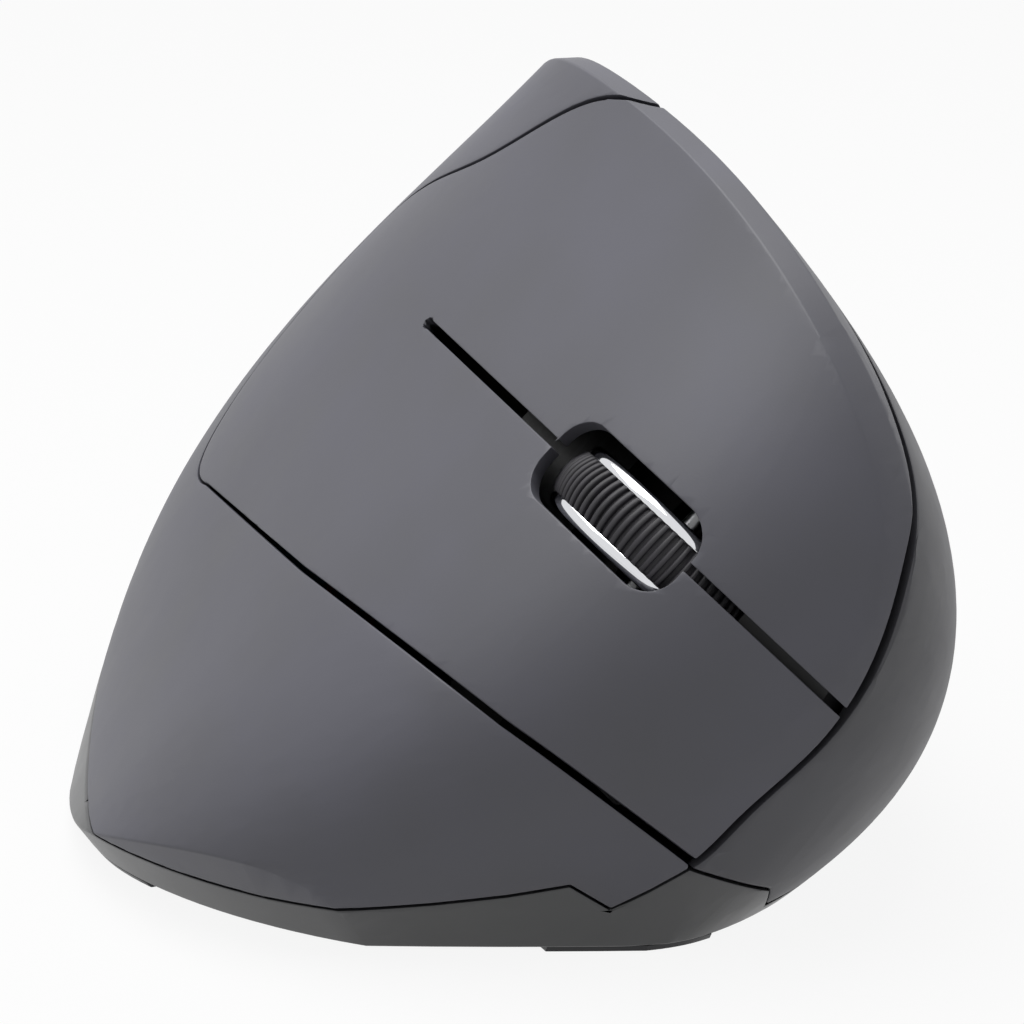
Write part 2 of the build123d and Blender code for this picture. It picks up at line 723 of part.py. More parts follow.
# Inner frame: a plate under the key board, its posts, the divider under the slit and two legs
frame_length = FRAME_FRONT - BOARD_REAR
frame_centre = ((FRAME_FRONT + BOARD_REAR) / 2, board_centre[1])
tongue_centre = (FRAME_FRONT + TONGUE[0] / 2 - TONGUE_LAP, SLIT_V)
divider_centre = (WHEEL_U + WHEEL_RADIUS + STEM_GAP + DIVIDER_LENGTH / 2, SLIT_V)
with BuildPart() as frame_legs:
    with BuildSketch(Plane.XY.offset(FLOOR_TOP)):
        with Locations(*FRAME_LEGS):
            RectangleRounded(LEG, LEG, CORNER)
    extrude(amount=REACH / 2)
    split(bisect_by=FACE.offset((frame_top + frame_bottom) / 2), keep=Keep.BOTTOM)
with BuildPart() as inner_frame:
    add(face_block(frame_length, board_width - 2 * FRAME_EDGE, frame_bottom, frame_top, frame_centre, CORNER))
    add(face_block(*FRAME_SLOT, frame_bottom, frame_top, (WHEEL_U, WHEEL_V)), mode=Mode.SUBTRACT)
    add(face_block(*TONGUE, frame_bottom, frame_top, tongue_centre))
    add(face_block(DIVIDER_LENGTH, DIVIDER_WIDTH, -DIVIDER_DEPTH, 0.0, divider_centre))
    add(bores(BOARD_SCREWS, BOSS_RADIUS, FACE.offset(frame_top), FRAME_POST_HEIGHT))
    add(frame_legs.part)
    add(bores(BOARD_SCREWS, screw_bore, FACE.offset(-BOARD_DEPTH), -FRAME_BORE), mode=Mode.SUBTRACT)
    add(post_bores, mode=Mode.SUBTRACT)
    add(clear_body, mode=Mode.INTERSECT)
save(inner_frame, "inner_frame")

# Wheel: tread, two rims, hub, axle and the rotor of the encoder
SPOKE = Plane(origin=WHEEL.origin, x_dir=FACE.y_dir, z_dir=FACE.x_dir)
wheel_axis = Axis(WHEEL.origin, WHEEL.z_dir)
tread_edge = WHEEL_RADIUS - TREAD_CROWN
rim_edge = WHEEL_RADIUS - RIM_DROP

with BuildPart() as wheel_tread:
    with BuildSketch(SPOKE):
        with BuildLine():
            ThreePointArc((-half_tread, tread_edge), (0.0, WHEEL_RADIUS), (half_tread, tread_edge))
            Polyline((half_tread, tread_edge), (half_tread, TREAD_INNER), (-half_tread, TREAD_INNER),
                     (-half_tread, tread_edge))
        make_face()
    revolve(axis=wheel_axis)
    with BuildSketch(WHEEL.offset(-half_tread)):
        with PolarLocations(WHEEL_RADIUS, RIB_COUNT):
            Rectangle(2 * RIB_DEPTH, RIB_GAP)
    extrude(amount=TREAD_WIDTH, mode=Mode.SUBTRACT)
save(wheel_tread, "wheel_tread")

for name, side in (("left", 1), ("right", -1)):
    with BuildPart() as rim:
        with BuildSketch(SPOKE):
            with BuildLine():
                inner = side * half_tread
                outer = side * rim_side
                shoulder = (outer - side * RIM_SHOULDER[0], rim_edge - RIM_SHOULDER[1])
                Line((inner, RIM_INNER), (inner, rim_edge))
                ThreePointArc((inner, rim_edge), shoulder, (outer, rim_edge - RIM_ROUND))
                Polyline((outer, rim_edge - RIM_ROUND), (outer, RIM_INNER), (inner, RIM_INNER))
            make_face()
        revolve(axis=wheel_axis)
    save(rim, name + "_rim")

with BuildPart() as wheel_hub:
    with BuildSketch(SPOKE):
        with BuildLine():
            quarter = [(half_tread, TREAD_INNER), (half_tread, RIM_INNER), (HUB_BOSS, RIM_INNER),
                       (HUB_BOSS, RIM_INNER - HUB_WEB), (HUB_WEB / 2, RIM_INNER - HUB_WEB),
                       (HUB_WEB / 2, AXLE_RADIUS + HUB_WEB), (HUB_BOSS, AXLE_RADIUS + HUB_WEB),
                       (HUB_BOSS, AXLE_RADIUS)]
            other = [(-x, y) for x, y in reversed(quarter)]
            Polyline(*quarter, *other, close=True)
        make_face()
    revolve(axis=wheel_axis)
save(wheel_hub, "wheel_hub")

rotor_end = ENCODER_V - ROTOR_WIDTH / 2 - WHEEL_V
axle_end = CRADLE_V + CRADLE_WIDTH / 2 + FIT - WHEEL_V
with BuildPart() as wheel_axle:
    with BuildSketch(WHEEL.offset(rotor_end)):
        Circle(AXLE_RADIUS)
    extrude(amount=axle_end - rotor_end)
save(wheel_axle, "wheel_axle")

with BuildPart() as encoder_rotor:
    with BuildSketch(WHEEL.offset(rotor_end)):
        Circle(ROTOR_RADIUS)
        Circle(AXLE_RADIUS, mode=Mode.SUBTRACT)
    extrude(amount=ROTOR_WIDTH)
save(encoder_rotor, "encoder_rotor")

encoder_place = (WHEEL_U, ENCODER_V)
with BuildPart() as encoder_housing:
    top = ENCODER_HEIGHT - BOARD_DEPTH
    add(face_block(ENCODER_LENGTH, ENCODER_WIDTH, -BOARD_DEPTH, top, encoder_place))
    with BuildSketch(WHEEL.offset(ENCODER_V - WHEEL_V - ENCODER_WIDTH)):
        Circle(ROTOR_RADIUS + ROTOR_FIT)
    extrude(amount=2 * ENCODER_WIDTH, mode=Mode.SUBTRACT)
save(encoder_housing, "encoder_housing")

cradle_place = (WHEEL_U, CRADLE_V)
with BuildPart() as axle_cradle:
    add(face_block(CRADLE_LENGTH, CRADLE_WIDTH, cradle_bottom, CRADLE_TOP, cradle_place))
    with BuildSketch(WHEEL.offset(CRADLE_V - WHEEL_V - CRADLE_WIDTH)):
        Circle(AXLE_RADIUS + AXLE_FIT)
    extrude(amount=2 * CRADLE_WIDTH, mode=Mode.SUBTRACT)
save(axle_cradle, "axle_cradle")

bracket_inner = CRADLE_LENGTH + 2 * BRACKET_GAP
with BuildPart() as wheel_bracket:
    bracket_outer = bracket_inner + 2 * BRACKET_WALL
    add(face_block(bracket_outer, CRADLE_WIDTH, -BOARD_DEPTH, CRADLE_TOP, cradle_place))
    add(face_block(bracket_inner, 2 * CRADLE_WIDTH, -REACH, REACH, cradle_place), mode=Mode.SUBTRACT)
save(wheel_bracket, "wheel_bracket")

# Battery bay: cell, spring, contacts and door
bay_left = CELL_X - CELL_LENGTH / 2 - CONTACT
bay_right = CELL_X + CELL_LENGTH / 2 + SPRING_LENGTH + CONTACT
bay_centre = ((bay_left + bay_right) / 2, CELL_Y)
bay_length = bay_right - bay_left
ALONG_X = Plane(origin=(CELL_X, CELL_Y, CELL_Z), x_dir=(0, 1, 0), z_dir=(1, 0, 0))
with BuildPart() as battery_cell:
    with BuildSketch(ALONG_X.offset(-CELL_LENGTH / 2 + NUB_HEIGHT)):
        Circle(CELL_RADIUS)
    extrude(amount=CELL_LENGTH - NUB_HEIGHT)
    chamfer(battery_cell.edges().filter_by(GeomType.CIRCLE), EDGE)
    with BuildSketch(ALONG_X.offset(-CELL_LENGTH / 2)):
        Circle(NUB_RADIUS)
    extrude(amount=2 * NUB_HEIGHT)
save(battery_cell, "battery_cell")

with BuildPart() as battery_spring:
    spring_height = SPRING_LENGTH - SPRING_WIRE
    spring_start = (CELL_X + CELL_LENGTH / 2 + SPRING_WIRE / 2, CELL_Y, CELL_Z)
    with BuildLine():
        coil = Helix(spring_height / SPRING_TURNS, spring_height, SPRING_RADIUS, spring_start, (1, 0, 0))
    with BuildSketch(Plane(origin=coil @ 0, z_dir=coil % 0)):
        Circle(SPRING_WIRE / 2)
    sweep(path=coil)
save(battery_spring, "battery_spring")

with BuildPart() as battery_contacts:
    for x in (bay_left + CONTACT / 2, bay_right - CONTACT / 2):
        with BuildSketch(Plane(origin=(x, CELL_Y, CELL_Z), x_dir=(0, 1, 0), z_dir=(1, 0, 0))):
            RectangleRounded(CELL_RADIUS + SPRING_RADIUS, CELL_RADIUS + SPRING_RADIUS, CORNER)
        extrude(amount=CONTACT / 2, both=True)
save(battery_contacts, "battery_contacts")

door_left = bay_centre[0] - DOOR_LENGTH / 2
with BuildPart() as battery_door:
    with BuildSketch(Plane.XY.offset(FOOT_HEIGHT)):
        with Locations(bay_centre):
            RectangleRounded(DOOR_LENGTH, DOOR_WIDTH, CORNER)
    extrude(amount=DOOR_PLATE)
    with BuildSketch(Plane.XY.offset(FOOT_HEIGHT)):
        with Locations((bay_right - HOOK_WIDTH, CELL_Y)):
            SlotOverall(DOOR_WIDTH / 2, THUMB_NOTCH, rotation=90)
    extrude(amount=RECESS, mode=Mode.SUBTRACT)
    hook_top = FLOOR_TOP + FLANGE_GAP + HOOK_RISE
    for side in (-1, 1):
        y = CELL_Y + side * DOOR_WIDTH / 4
        with BuildSketch(Plane.XY.offset(FOOT_HEIGHT + DOOR_PLATE)):
            with Locations((door_left + DOOR_GAP + HOOK_ROOT / 2, y)):
                Rectangle(HOOK_ROOT, HOOK_WIDTH)
        extrude(amount=hook_top - FOOT_HEIGHT - DOOR_PLATE)
        with BuildSketch(Plane.XY.offset(FLOOR_TOP + FLANGE_GAP)):
            with Locations((door_left + DOOR_GAP + (HOOK_ROOT - HOOK_REACH) / 2, y)):
                Rectangle(HOOK_ROOT + HOOK_REACH, HOOK_WIDTH)
        extrude(amount=HOOK_RISE)
save(battery_door, "battery_door")

# Receiver in its pocket
cap_bottom = FOOT_HEIGHT + SCREW_RECESS
with BuildPart() as receiver_cap:
    with BuildSketch(Plane.XY.offset(cap_bottom)):
        with Locations(POCKET_CENTRE):
            RectangleRounded(CAP_WIDTH, CAP_THICK, CORNER)
    extrude(amount=CAP_HEIGHT)
    chamfer(receiver_cap.faces().sort_by(Axis.Z)[0].edges(), EDGE)
save(receiver_cap, "receiver_cap")
plug_bottom = cap_bottom + CAP_HEIGHT
with BuildPart() as receiver_plug:
    with BuildSketch(Plane.XY.offset(plug_bottom)):
        with Locations(POCKET_CENTRE):
            Rectangle(PLUG_WIDTH, PLUG_THICK)
    extrude(amount=PLUG_LENGTH)
    with BuildSketch(Plane.XY.offset(plug_bottom + PLUG_LENGTH)):
        with Locations((POCKET_CENTRE[0], POCKET_CENTRE[1] + (PLUG_THICK - PLUG_MOUTH) / 2 - PLUG_WALL)):
            Rectangle(PLUG_WIDTH - 2 * PLUG_WALL, PLUG_MOUTH)
    extrude(amount=-PLUG_HOLLOW, mode=Mode.SUBTRACT)
save(receiver_plug, "receiver_plug")

# Bottom shell with its bosses, bay, pocket and openings
with BuildPart() as bay_walls:
    with BuildSketch(Plane.XY.offset(FLOOR_TOP)):
        with Locations(bay_centre):
            Rectangle(bay_length + 2 * BAY_WALL, BAY_WIDTH + 2 * BAY_WALL)
            Rectangle(bay_length, BAY_WIDTH, mode=Mode.SUBTRACT)
    extrude(amount=BAY_HEIGHT)
    pocket = (CAP_WIDTH + 2 * POCKET_GAP, CAP_THICK + 2 * POCKET_GAP)
    with BuildSketch(Plane.XY.offset(FLOOR_TOP)):
        with Locations(POCKET_CENTRE):
            Rectangle(pocket[0] + 2 * POCKET_WALL, pocket[1] + 2 * POCKET_WALL)
            Rectangle(*pocket, mode=Mode.SUBTRACT)
    extrude(amount=plug_bottom + PLUG_LENGTH - FLOOR_TOP)
    add(clear_body, mode=Mode.INTERSECT)
slider_middle = (SLIDER_PLACE[0], SLIDER_PLACE[1] + SLIDER_TRAVEL / 2)
with BuildPart() as bottom_shell:
    add(base_side.part)
    add(bay_walls.part)
    add(bores(base_screws, BOSS_RADIUS, Plane.XY.offset(FLOOR_TOP), BASE_BOARD_Z - FLOOR_TOP))
    with BuildSketch(Plane.XY):
        with Locations(bay_centre):
            RectangleRounded(DOOR_LENGTH + 2 * DOOR_GAP, DOOR_WIDTH + 2 * DOOR_GAP, CORNER + DOOR_GAP)
        with Locations(POCKET_CENTRE):
            RectangleRounded(*pocket, CORNER + POCKET_GAP)
        with Locations(slider_middle):
            Rectangle(SLIDER_KNOB[0] + 2 * FIT, SLIDER_KNOB[1] + SLIDER_TRAVEL + 2 * FIT)
        with Locations(LENS_PLACE):
            Circle(LENS_WINDOW)
        with Locations(PAIR_PLACE):
            Circle(PAIR_RADIUS + FIT)
        with Locations(*legs_and_posts):
            Circle(screw_bore)
    extrude(amount=FLOOR_TOP, mode=Mode.SUBTRACT)
    head_room = SCREW_RECESS + SCREW_HEAD_HEIGHT
    recesses = bores(legs_and_posts, SCREW_HEAD + FIT, Plane.XY.offset(FOOT_HEIGHT), head_room)
    add(recesses, mode=Mode.SUBTRACT)
    board_bores = bores(base_screws, screw_bore, Plane.XY.offset(base_board_top), -BOARD_SCREW_LENGTH)
    add(board_bores, mode=Mode.SUBTRACT)
save(bottom_shell, "bottom_shell")

# Base board with its lens, chips and switches
with BuildPart() as base_board:
    with BuildSketch(Plane.XY.offset(BASE_BOARD_Z)):
        with Locations(BASE_BOARD_CENTRE):
            RectangleRounded(*BASE_BOARD_SIZE, CORNER)
        with Locations(LENS_PLACE):
            Circle(LENS_WINDOW, mode=Mode.SUBTRACT)
        with Locations(*base_screws):
            Circle(screw_bore, mode=Mode.SUBTRACT)
    extrude(amount=BOARD)
save(base_board, "base_board")

with BuildPart() as sensor_lens:
    with BuildSketch(Plane.XY.offset(FLOOR_TOP)):
        with Locations(LENS_PLACE):
            Rectangle(LENS_PLATE[0], LENS_PLATE[1])
    extrude(amount=LENS_PLATE[2])
    with BuildSketch(Plane.XY.offset(FOOT_HEIGHT + RECESS)):
        with Locations(LENS_PLACE):
            Circle(LENS_BARREL)
    extrude(amount=base_board_top - FOOT_HEIGHT - RECESS)
save(sensor_lens, "sensor_lens")

with BuildPart() as sensor_chip:
    with BuildSketch(Plane.XY.offset(base_board_top)):
        with Locations(LENS_PLACE):
            Rectangle(CHIP[0], CHIP[1])
    extrude(amount=CHIP[2])
save(sensor_chip, "sensor_chip")

with BuildPart() as board_chips:
    for place, size in ((CONTROLLER_PLACE, CONTROLLER), (CRYSTAL_PLACE, CRYSTAL)):
        with BuildSketch(Plane.XY.offset(base_board_top)):
            with Locations(place):
                Rectangle(size[0], size[1])
        extrude(amount=size[2])
save(board_chips, "board_chips")

flange_bottom = FLOOR_TOP + FLANGE_GAP
with BuildPart() as power_switch:
    with BuildSketch(Plane.XY.offset(FOOT_HEIGHT + RECESS)):
        with Locations(SLIDER_PLACE):
            Rectangle(*SLIDER_KNOB)
    extrude(amount=flange_bottom - FOOT_HEIGHT - RECESS)
    with BuildSketch(Plane.XY.offset(flange_bottom)):
        with Locations(SLIDER_PLACE):
            Rectangle(*SLIDER_FLANGE)
    extrude(amount=FLANGE)
    with BuildSketch(Plane.XY.offset(flange_bottom + FLANGE)):
        with Locations(SLIDER_PLACE):
            Rectangle(SLIDER_STEM, SLIDER_STEM)
    extrude(amount=SLIDER_STEM)
save(power_switch, "power_switch")

with BuildPart() as slide_switch:
    with BuildSketch(Plane.XY.offset(BASE_BOARD_Z)):
        with Locations(slider_middle):
            Rectangle(SLIDE_SWITCH[0], SLIDE_SWITCH[1])
    extrude(amount=-SLIDE_SWITCH[2])
    with BuildSketch(Plane.XY.offset(BASE_BOARD_Z - SLIDE_SWITCH[2])):
        with Locations(slider_middle):
            Rectangle(SLIDER_STEM + 2 * FIT, SLIDER_STEM + SLIDER_TRAVEL + 2 * FIT)
    extrude(amount=SLIDE_SWITCH[2] / 2, mode=Mode.SUBTRACT)
save(slide_switch, "slide_switch")

with BuildPart() as pair_button:
    with BuildSketch(Plane.XY.offset(FOOT_HEIGHT + RECESS)):
        with Locations(PAIR_PLACE):
            Circle(PAIR_RADIUS)
    extrude(amount=flange_bottom - FOOT_HEIGHT - RECESS)
    with BuildSketch(Plane.XY.offset(flange_bottom)):
        with Locations(PAIR_PLACE):
            Circle(PAIR_FLANGE)
    extrude(amount=BASE_BOARD_Z - TACT_LOW - TACT_RISE - STEM_GAP - flange_bottom)
save(pair_button, "pair_button")
UNDER_BOARD = Plane(origin=(*PAIR_PLACE, BASE_BOARD_Z), x_dir=(1, 0, 0), z_dir=(0, 0, -1))
tact(UNDER_BOARD, TACT_LOW, "pair")


# Glide feet: thin pads that reach to just inside the edge of the base
foot_limit = body_solid(inset=FOOT_INSET).moved(Location((0, 0, -FOOT_HEIGHT)))


def foot(name, centres, width=FOOT_CUT):
    """Pads cut by blocks that lap over the edge of the base."""
    with BuildPart() as pads:
        with BuildSketch(Plane.XY):
            with Locations(*centres):
                RectangleRounded(width, FOOT_CUT, CORNER)
        extrude(amount=FOOT_HEIGHT)
        add(foot_limit, mode=Mode.INTERSECT)
    save(pads, name)


foot("front_foot", [(FRONT_FOOT_X, FRONT_FOOT_Y - FOOT_CUT / 2)], FRONT_FOOT_WIDTH)
foot("rear_foot", [(REAR_FOOT_X, REAR_FOOT_Y + FOOT_CUT / 2)])
foot("side_feet", [(side * (SIDE_FOOT_X + FOOT_CUT / 2), 0.0) for side in (-1, 1)])

# Screws, one node for each kind
with BuildPart() as case_screws:
    for place in legs_and_posts:
        upside_down = Plane(origin=(*place, FOOT_HEIGHT + head_room), x_dir=(1, 0, 0), z_dir=(0, 0, -1))
        add(screw(upside_down, SCREW_LENGTH))
save(case_screws, "case_screws")
with BuildPart() as key_board_screws:
    for place in BOARD_SCREWS:
        add(screw(shifted(FACE, *place, -BOARD_DEPTH), BOARD_SCREW_LENGTH))
save(key_board_screws, "key_board_screws")
with BuildPart() as base_board_screws:
    for x, y in base_screws:
        add(screw(Plane.XY.offset(base_board_top).move(Location((x, y, 0))), BOARD_SCREW_LENGTH))
save(base_board_screws, "base_board_screws")


def wire_set(name, routes):
    """Round wires with smooth bends, each along its own route."""
    with BuildPart() as wires:
        for route in routes:
            with BuildLine():
                path = FilletPolyline(*route, radius=WIRE_BEND)
            with BuildSketch(Plane(origin=path @ 0, z_dir=path % 0)):
                Circle(WIRE)
            sweep(path=path)
    save(wires, name)


key_wires = []
for i in range(KEY_WIRE_COUNT):
    v = KEY_WIRE_V + 3 * WIRE_STEP * i / 2
    start = FACE.from_local_coords((BOARD_REAR, v, -BOARD_DEPTH - BOARD / 2))
    out = FACE.from_local_coords((BOARD_REAR - WIRE_LEAD, v, -BOARD_DEPTH - BOARD / 2))
    end = (KEY_WIRE_END[0] + WIRE_STEP * i, KEY_WIRE_END[1])
    key_wires.append([start, out, (*end, out.Z - KEY_WIRE_FALL), (*end, base_board_top)])
wire_set("key_wires", key_wires)

side_wires = []
side_board_edge = SIDE_BOARD_B + SIDE_BOARD_SIZE[1] / 2
side_board_middle = -SIDE_BOARD_DEPTH - SIDE_BOARD / 2
for i in range(SIDE_WIRE_COUNT):
    a = SIDE_WIRE_A + WIRE_STEP * i
    start = THUMB.from_local_coords((a, side_board_edge, side_board_middle))
    out = THUMB.from_local_coords((a, side_board_edge + WIRE_LEAD, side_board_middle))
    end = (SIDE_WIRE_END[0], SIDE_WIRE_END[1] - WIRE_STEP * i)
    side_wires.append([start, out, (*end, SIDE_WIRE_TURN), (*end, base_board_top)])
wire_set("side_wires", side_wires)

contact_top = CELL_Z + (CELL_RADIUS + SPRING_RADIUS) / 2
cell_wire_rise = contact_top + WIRE_BEND + WIRE
cell_wires = []
for x, side in ((bay_left + CONTACT / 2, -1), (bay_right - CONTACT / 2, 1)):
    start = (x, CELL_Y - SPRING_RADIUS)
    end = (side * CELL_WIRE_END[0], CELL_WIRE_END[1])
    cell_wires.append([(*start, contact_top), (*start, cell_wire_rise), (*end, cell_wire_rise),
                       (*end, base_board_top)])
wire_set("cell_wires", cell_wires)
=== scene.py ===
# %% [markdown]
# # An upright wireless mouse
# The real object is a hollow plastic shell the size of a fist. A hand rests on it as if to shake
# hands: two long keys and a scroll wheel lie on the sloping left side, and two small keys lie under
# the thumb on the right. The machine parts come from the CAD model and stay where they are. This
# lesson gives them their looks: rounded edges, a continuous key surface, a finely ribbed wheel and a
# finish for every material.

import json
import math

import bmesh
import bpy
from mathutils import Matrix, Vector


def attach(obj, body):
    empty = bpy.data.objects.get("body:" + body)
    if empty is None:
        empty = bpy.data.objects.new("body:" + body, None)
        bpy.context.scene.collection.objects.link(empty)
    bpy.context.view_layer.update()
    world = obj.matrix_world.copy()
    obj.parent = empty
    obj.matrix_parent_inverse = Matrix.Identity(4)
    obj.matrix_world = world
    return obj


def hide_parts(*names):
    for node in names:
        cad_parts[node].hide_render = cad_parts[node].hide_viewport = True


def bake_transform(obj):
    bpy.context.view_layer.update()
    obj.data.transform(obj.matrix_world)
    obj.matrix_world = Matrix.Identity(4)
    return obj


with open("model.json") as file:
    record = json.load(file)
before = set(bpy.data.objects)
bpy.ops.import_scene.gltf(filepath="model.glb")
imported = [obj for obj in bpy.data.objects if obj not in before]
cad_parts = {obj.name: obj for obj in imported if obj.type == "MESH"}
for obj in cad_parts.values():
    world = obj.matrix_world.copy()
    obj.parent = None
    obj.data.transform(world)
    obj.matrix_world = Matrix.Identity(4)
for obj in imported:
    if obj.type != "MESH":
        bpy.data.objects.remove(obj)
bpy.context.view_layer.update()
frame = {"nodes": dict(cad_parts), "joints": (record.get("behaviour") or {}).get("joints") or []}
nodes = frame["nodes"]
joints = {joint["name"]: joint for joint in frame["joints"]}
MM = 0.001


def new_object(name, data=None):
    """Make an object of the scene from a mesh, a lamp, a camera or nothing."""
    made = bpy.data.objects.new(name, data)
    bpy.context.scene.collection.objects.link(made)
    return made


def aim(thing, place, target):
    """Put a camera or lamp at its place, and point it at its target."""
    thing.location = place
    thing.rotation_euler = (target - place).to_track_quat("-Z", "Y").to_euler()


# %% [markdown]
# ## Directions on the mouse
# The keys and the wheel share one sloping face, so most new pieces are placed along it. Its
# directions can be typed in as numbers, but the joints already hold them: the wheel turns about the
# line that runs up the face, and it tilts about the line that runs forward. Reading them keeps every
# piece in step with the frame.

# %% Directions of the finger face
forward = -Vector(joints["wheel_click"]["axis"]).normalized()
up_face = Vector(joints["wheel_spin"]["axis"]).normalized()
out_of_face = forward.cross(up_face).normalized()
wheel_middle = Vector(joints["wheel_spin"]["pos_m"])
flex_point = Vector(joints["left_key_press"]["pos_m"])
print("the face looks along", [round(part, 2) for part in out_of_face])

# %% [markdown]
# ## Colours and shader nodes
# A colour is easiest to read as a hex code from a paint chart, but shader sockets want linear light.
# One function turns the first into the second. A second function adds any shader node with its
# settings and links, so that each material below reads as a short recipe.


# %% Colour and node helpers
SRGB_LINE_END = 0.04045
SRGB_LINE_SLOPE = 12.92
SRGB_OFFSET = 0.055
SRGB_POWER = 2.4
BRIGHTEST = 255
PATCH_LOW = 0.35
PATCH_HIGH = 0.65

# The number, vector and colour sockets of a Mix node share their names, so these go by number
MIX_FIRST = 6
MIX_SECOND = 7
MIX_RESULT = 2


def linear(hex_colour):
    """Turn an sRGB hex colour into the linear RGBA that a shader socket takes."""
    light = []
    for channel in bytes.fromhex(hex_colour.strip("#")):
        share = channel / BRIGHTEST
        if share <= SRGB_LINE_END:
            light.append(share / SRGB_LINE_SLOPE)
        else:
            light.append(((share + SRGB_OFFSET) / (1 + SRGB_OFFSET)) ** SRGB_POWER)
    return light + [1.0]


def add_node(material, kind, settings=None, **inputs):
    """Add a shader node. Settings are its own options, and inputs are socket values or links.

    An input is named after its socket, or _0, _1 and so on where several sockets share one name.
    """
    node = material.node_tree.nodes.new("ShaderNode" + kind)
    for name, value in (settings or {}).items():
        setattr(node, name, value)
    for name, value in inputs.items():
        socket = node.inputs[int(name[1:]) if name[1:].isdigit() else name.replace("_", " ")]
        if isinstance(value, bpy.types.NodeSocket):
            material.node_tree.links.new(value, socket)
        else:
            socket.default_value = value
    return node


def new_finish(name, colour, roughness, **sockets):
    """Start a material: its colour, roughness and other plain values sit on the shader itself."""
    material = bpy.data.materials.new(name)
    material.use_nodes = True
    shader = material.node_tree.nodes["Principled BSDF"]
    shader.inputs["Base Color"].default_value = linear(colour)
    shader.inputs["Roughness"].default_value = roughness
    for socket, value in sockets.items():
        shader.inputs[socket.replace("_", " ")].default_value = value
    place = add_node(material, "TexCoord").outputs["Object"]
    return material, shader, place


def feed(material, shader, **links):
    """Link sockets of other nodes into the main shader."""
    for name, source in links.items():
        material.node_tree.links.new(source, shader.inputs[name.replace("_", " ")])


def tinted(material, shader, place, size_mm, dark, light):
    """Let the colour drift between two close tones, in soft patches of the given size."""
    patches = add_node(material, "TexNoise", Vector=place, Scale=1 / (size_mm * MM), Detail=2.0)
    amount = add_node(material, "MapRange", Value=patches.outputs["Fac"], From_Min=PATCH_LOW,
                      From_Max=PATCH_HIGH)
    tone = add_node(material, "Mix", {"data_type": "RGBA"}, Factor=amount.outputs["Result"])
    tone.inputs[MIX_FIRST].default_value = linear(dark)
    tone.inputs[MIX_SECOND].default_value = linear(light)
    feed(material, shader, Base_Color=tone.outputs[MIX_RESULT])


def uneven_gloss(material, shader, place, size_mm, low, high):
    """Let the roughness drift between two values, as handling and moulding leave it."""
    patches = add_node(material, "TexNoise", Vector=place, Scale=1 / (size_mm * MM), Detail=3.0)
    gloss = add_node(material, "MapRange", Value=patches.outputs["Fac"], To_Min=low, To_Max=high)
    feed(material, shader, Roughness=gloss.outputs["Result"])


def grained(material, shader, place, grain_mm, depth_mm):
    """Give the surface fine grains of a real width and depth."""
    grains = add_node(material, "TexNoise", Vector=place, Scale=1 / (grain_mm * MM), Detail=1.0)
    bump = add_node(material, "Bump", Height=grains.outputs["Fac"], Distance=depth_mm * MM, Strength=1.0)
    feed(material, shader, Normal=bump.outputs["Normal"])


print("a mid grey in linear light:", round(linear("#808080")[0], 3))

# %% [markdown]
# ## The soft grey finish of the shells
# The shells are injection-moulded ABS, sprayed with a matte soft-touch lacquer. To the eye that is an
# even charcoal grey with no sharp highlight, and a very fine grain that only shows where light
# grazes it. Such a surface is made with a dielectric shader of high roughness, close tones in broad
# patches, and a low bump. The real grain is about 0.05 mm wide, and it is drawn at 0.22 mm, because
# a finer one would not show in the picture.

# %% Lacquered shells, satin base and keys
soft_touch, shader, place = new_finish("soft_touch_lacquer", "#4c4c53", roughness=0.5, IOR=1.46)
tinted(soft_touch, shader, place, size_mm=18, dark="#4a4a50", light="#4e4e56")
uneven_gloss(soft_touch, shader, place, size_mm=9, low=0.45, high=0.55)
grained(soft_touch, shader, place, grain_mm=0.22, depth_mm=0.004)

# The thumb side is the same lacquer with painted shade: its colour is a shade darker because that side
# faces away from the lamp
thumb_lacquer_painted_shade, shader, place = new_finish("thumb_side_lacquer", "#3e3e42", roughness=0.5, IOR=1.46)
tinted(thumb_lacquer_painted_shade, shader, place, size_mm=15, dark="#3c3c40", light="#404045")
uneven_gloss(thumb_lacquer_painted_shade, shader, place, size_mm=8, low=0.42, high=0.55)
grained(thumb_lacquer_painted_shade, shader, place, grain_mm=0.22, depth_mm=0.004)

# The base is bare moulded ABS, darker and with more gloss, so it mirrors the table a little
satin_base, shader, place = new_finish("satin_moulded_abs", "#38393a", roughness=0.36, IOR=1.53)
tinted(satin_base, shader, place, size_mm=20, dark="#363738", light="#3b3b3d")
uneven_gloss(satin_base, shader, place, size_mm=6, low=0.3, high=0.4)
grained(satin_base, shader, place, grain_mm=0.3, depth_mm=0.004)

# The small thumb keys are moulded in the colour of the lacquer and left satin
key_abs, shader, place = new_finish("satin_key_abs", "#36363a", roughness=0.42, IOR=1.53)
tinted(key_abs, shader, place, size_mm=10, dark="#343438", light="#39393d")
uneven_gloss(key_abs, shader, place, size_mm=5, low=0.36, high=0.46)
grained(key_abs, shader, place, grain_mm=0.25, depth_mm=0.003)

# %% [markdown]
# ## Metals
# The rims of the wheel are plastic rings plated with bright chrome: a mirror with faint waviness,
# because the plating follows the moulded ring. Springs, contacts and screws are bare steel, less
# bright and finely drawn or stamped. A metal keeps the default IOR, and its colour is its tint.

# %% Chrome, steel and nickel
chrome, shader, place = new_finish("bright_chrome_plate", "#d9dadd", roughness=0.07, Metallic=1.0)
uneven_gloss(chrome, shader, place, size_mm=2.5, low=0.04, high=0.11)
grained(chrome, shader, place, grain_mm=2.2, depth_mm=0.012)

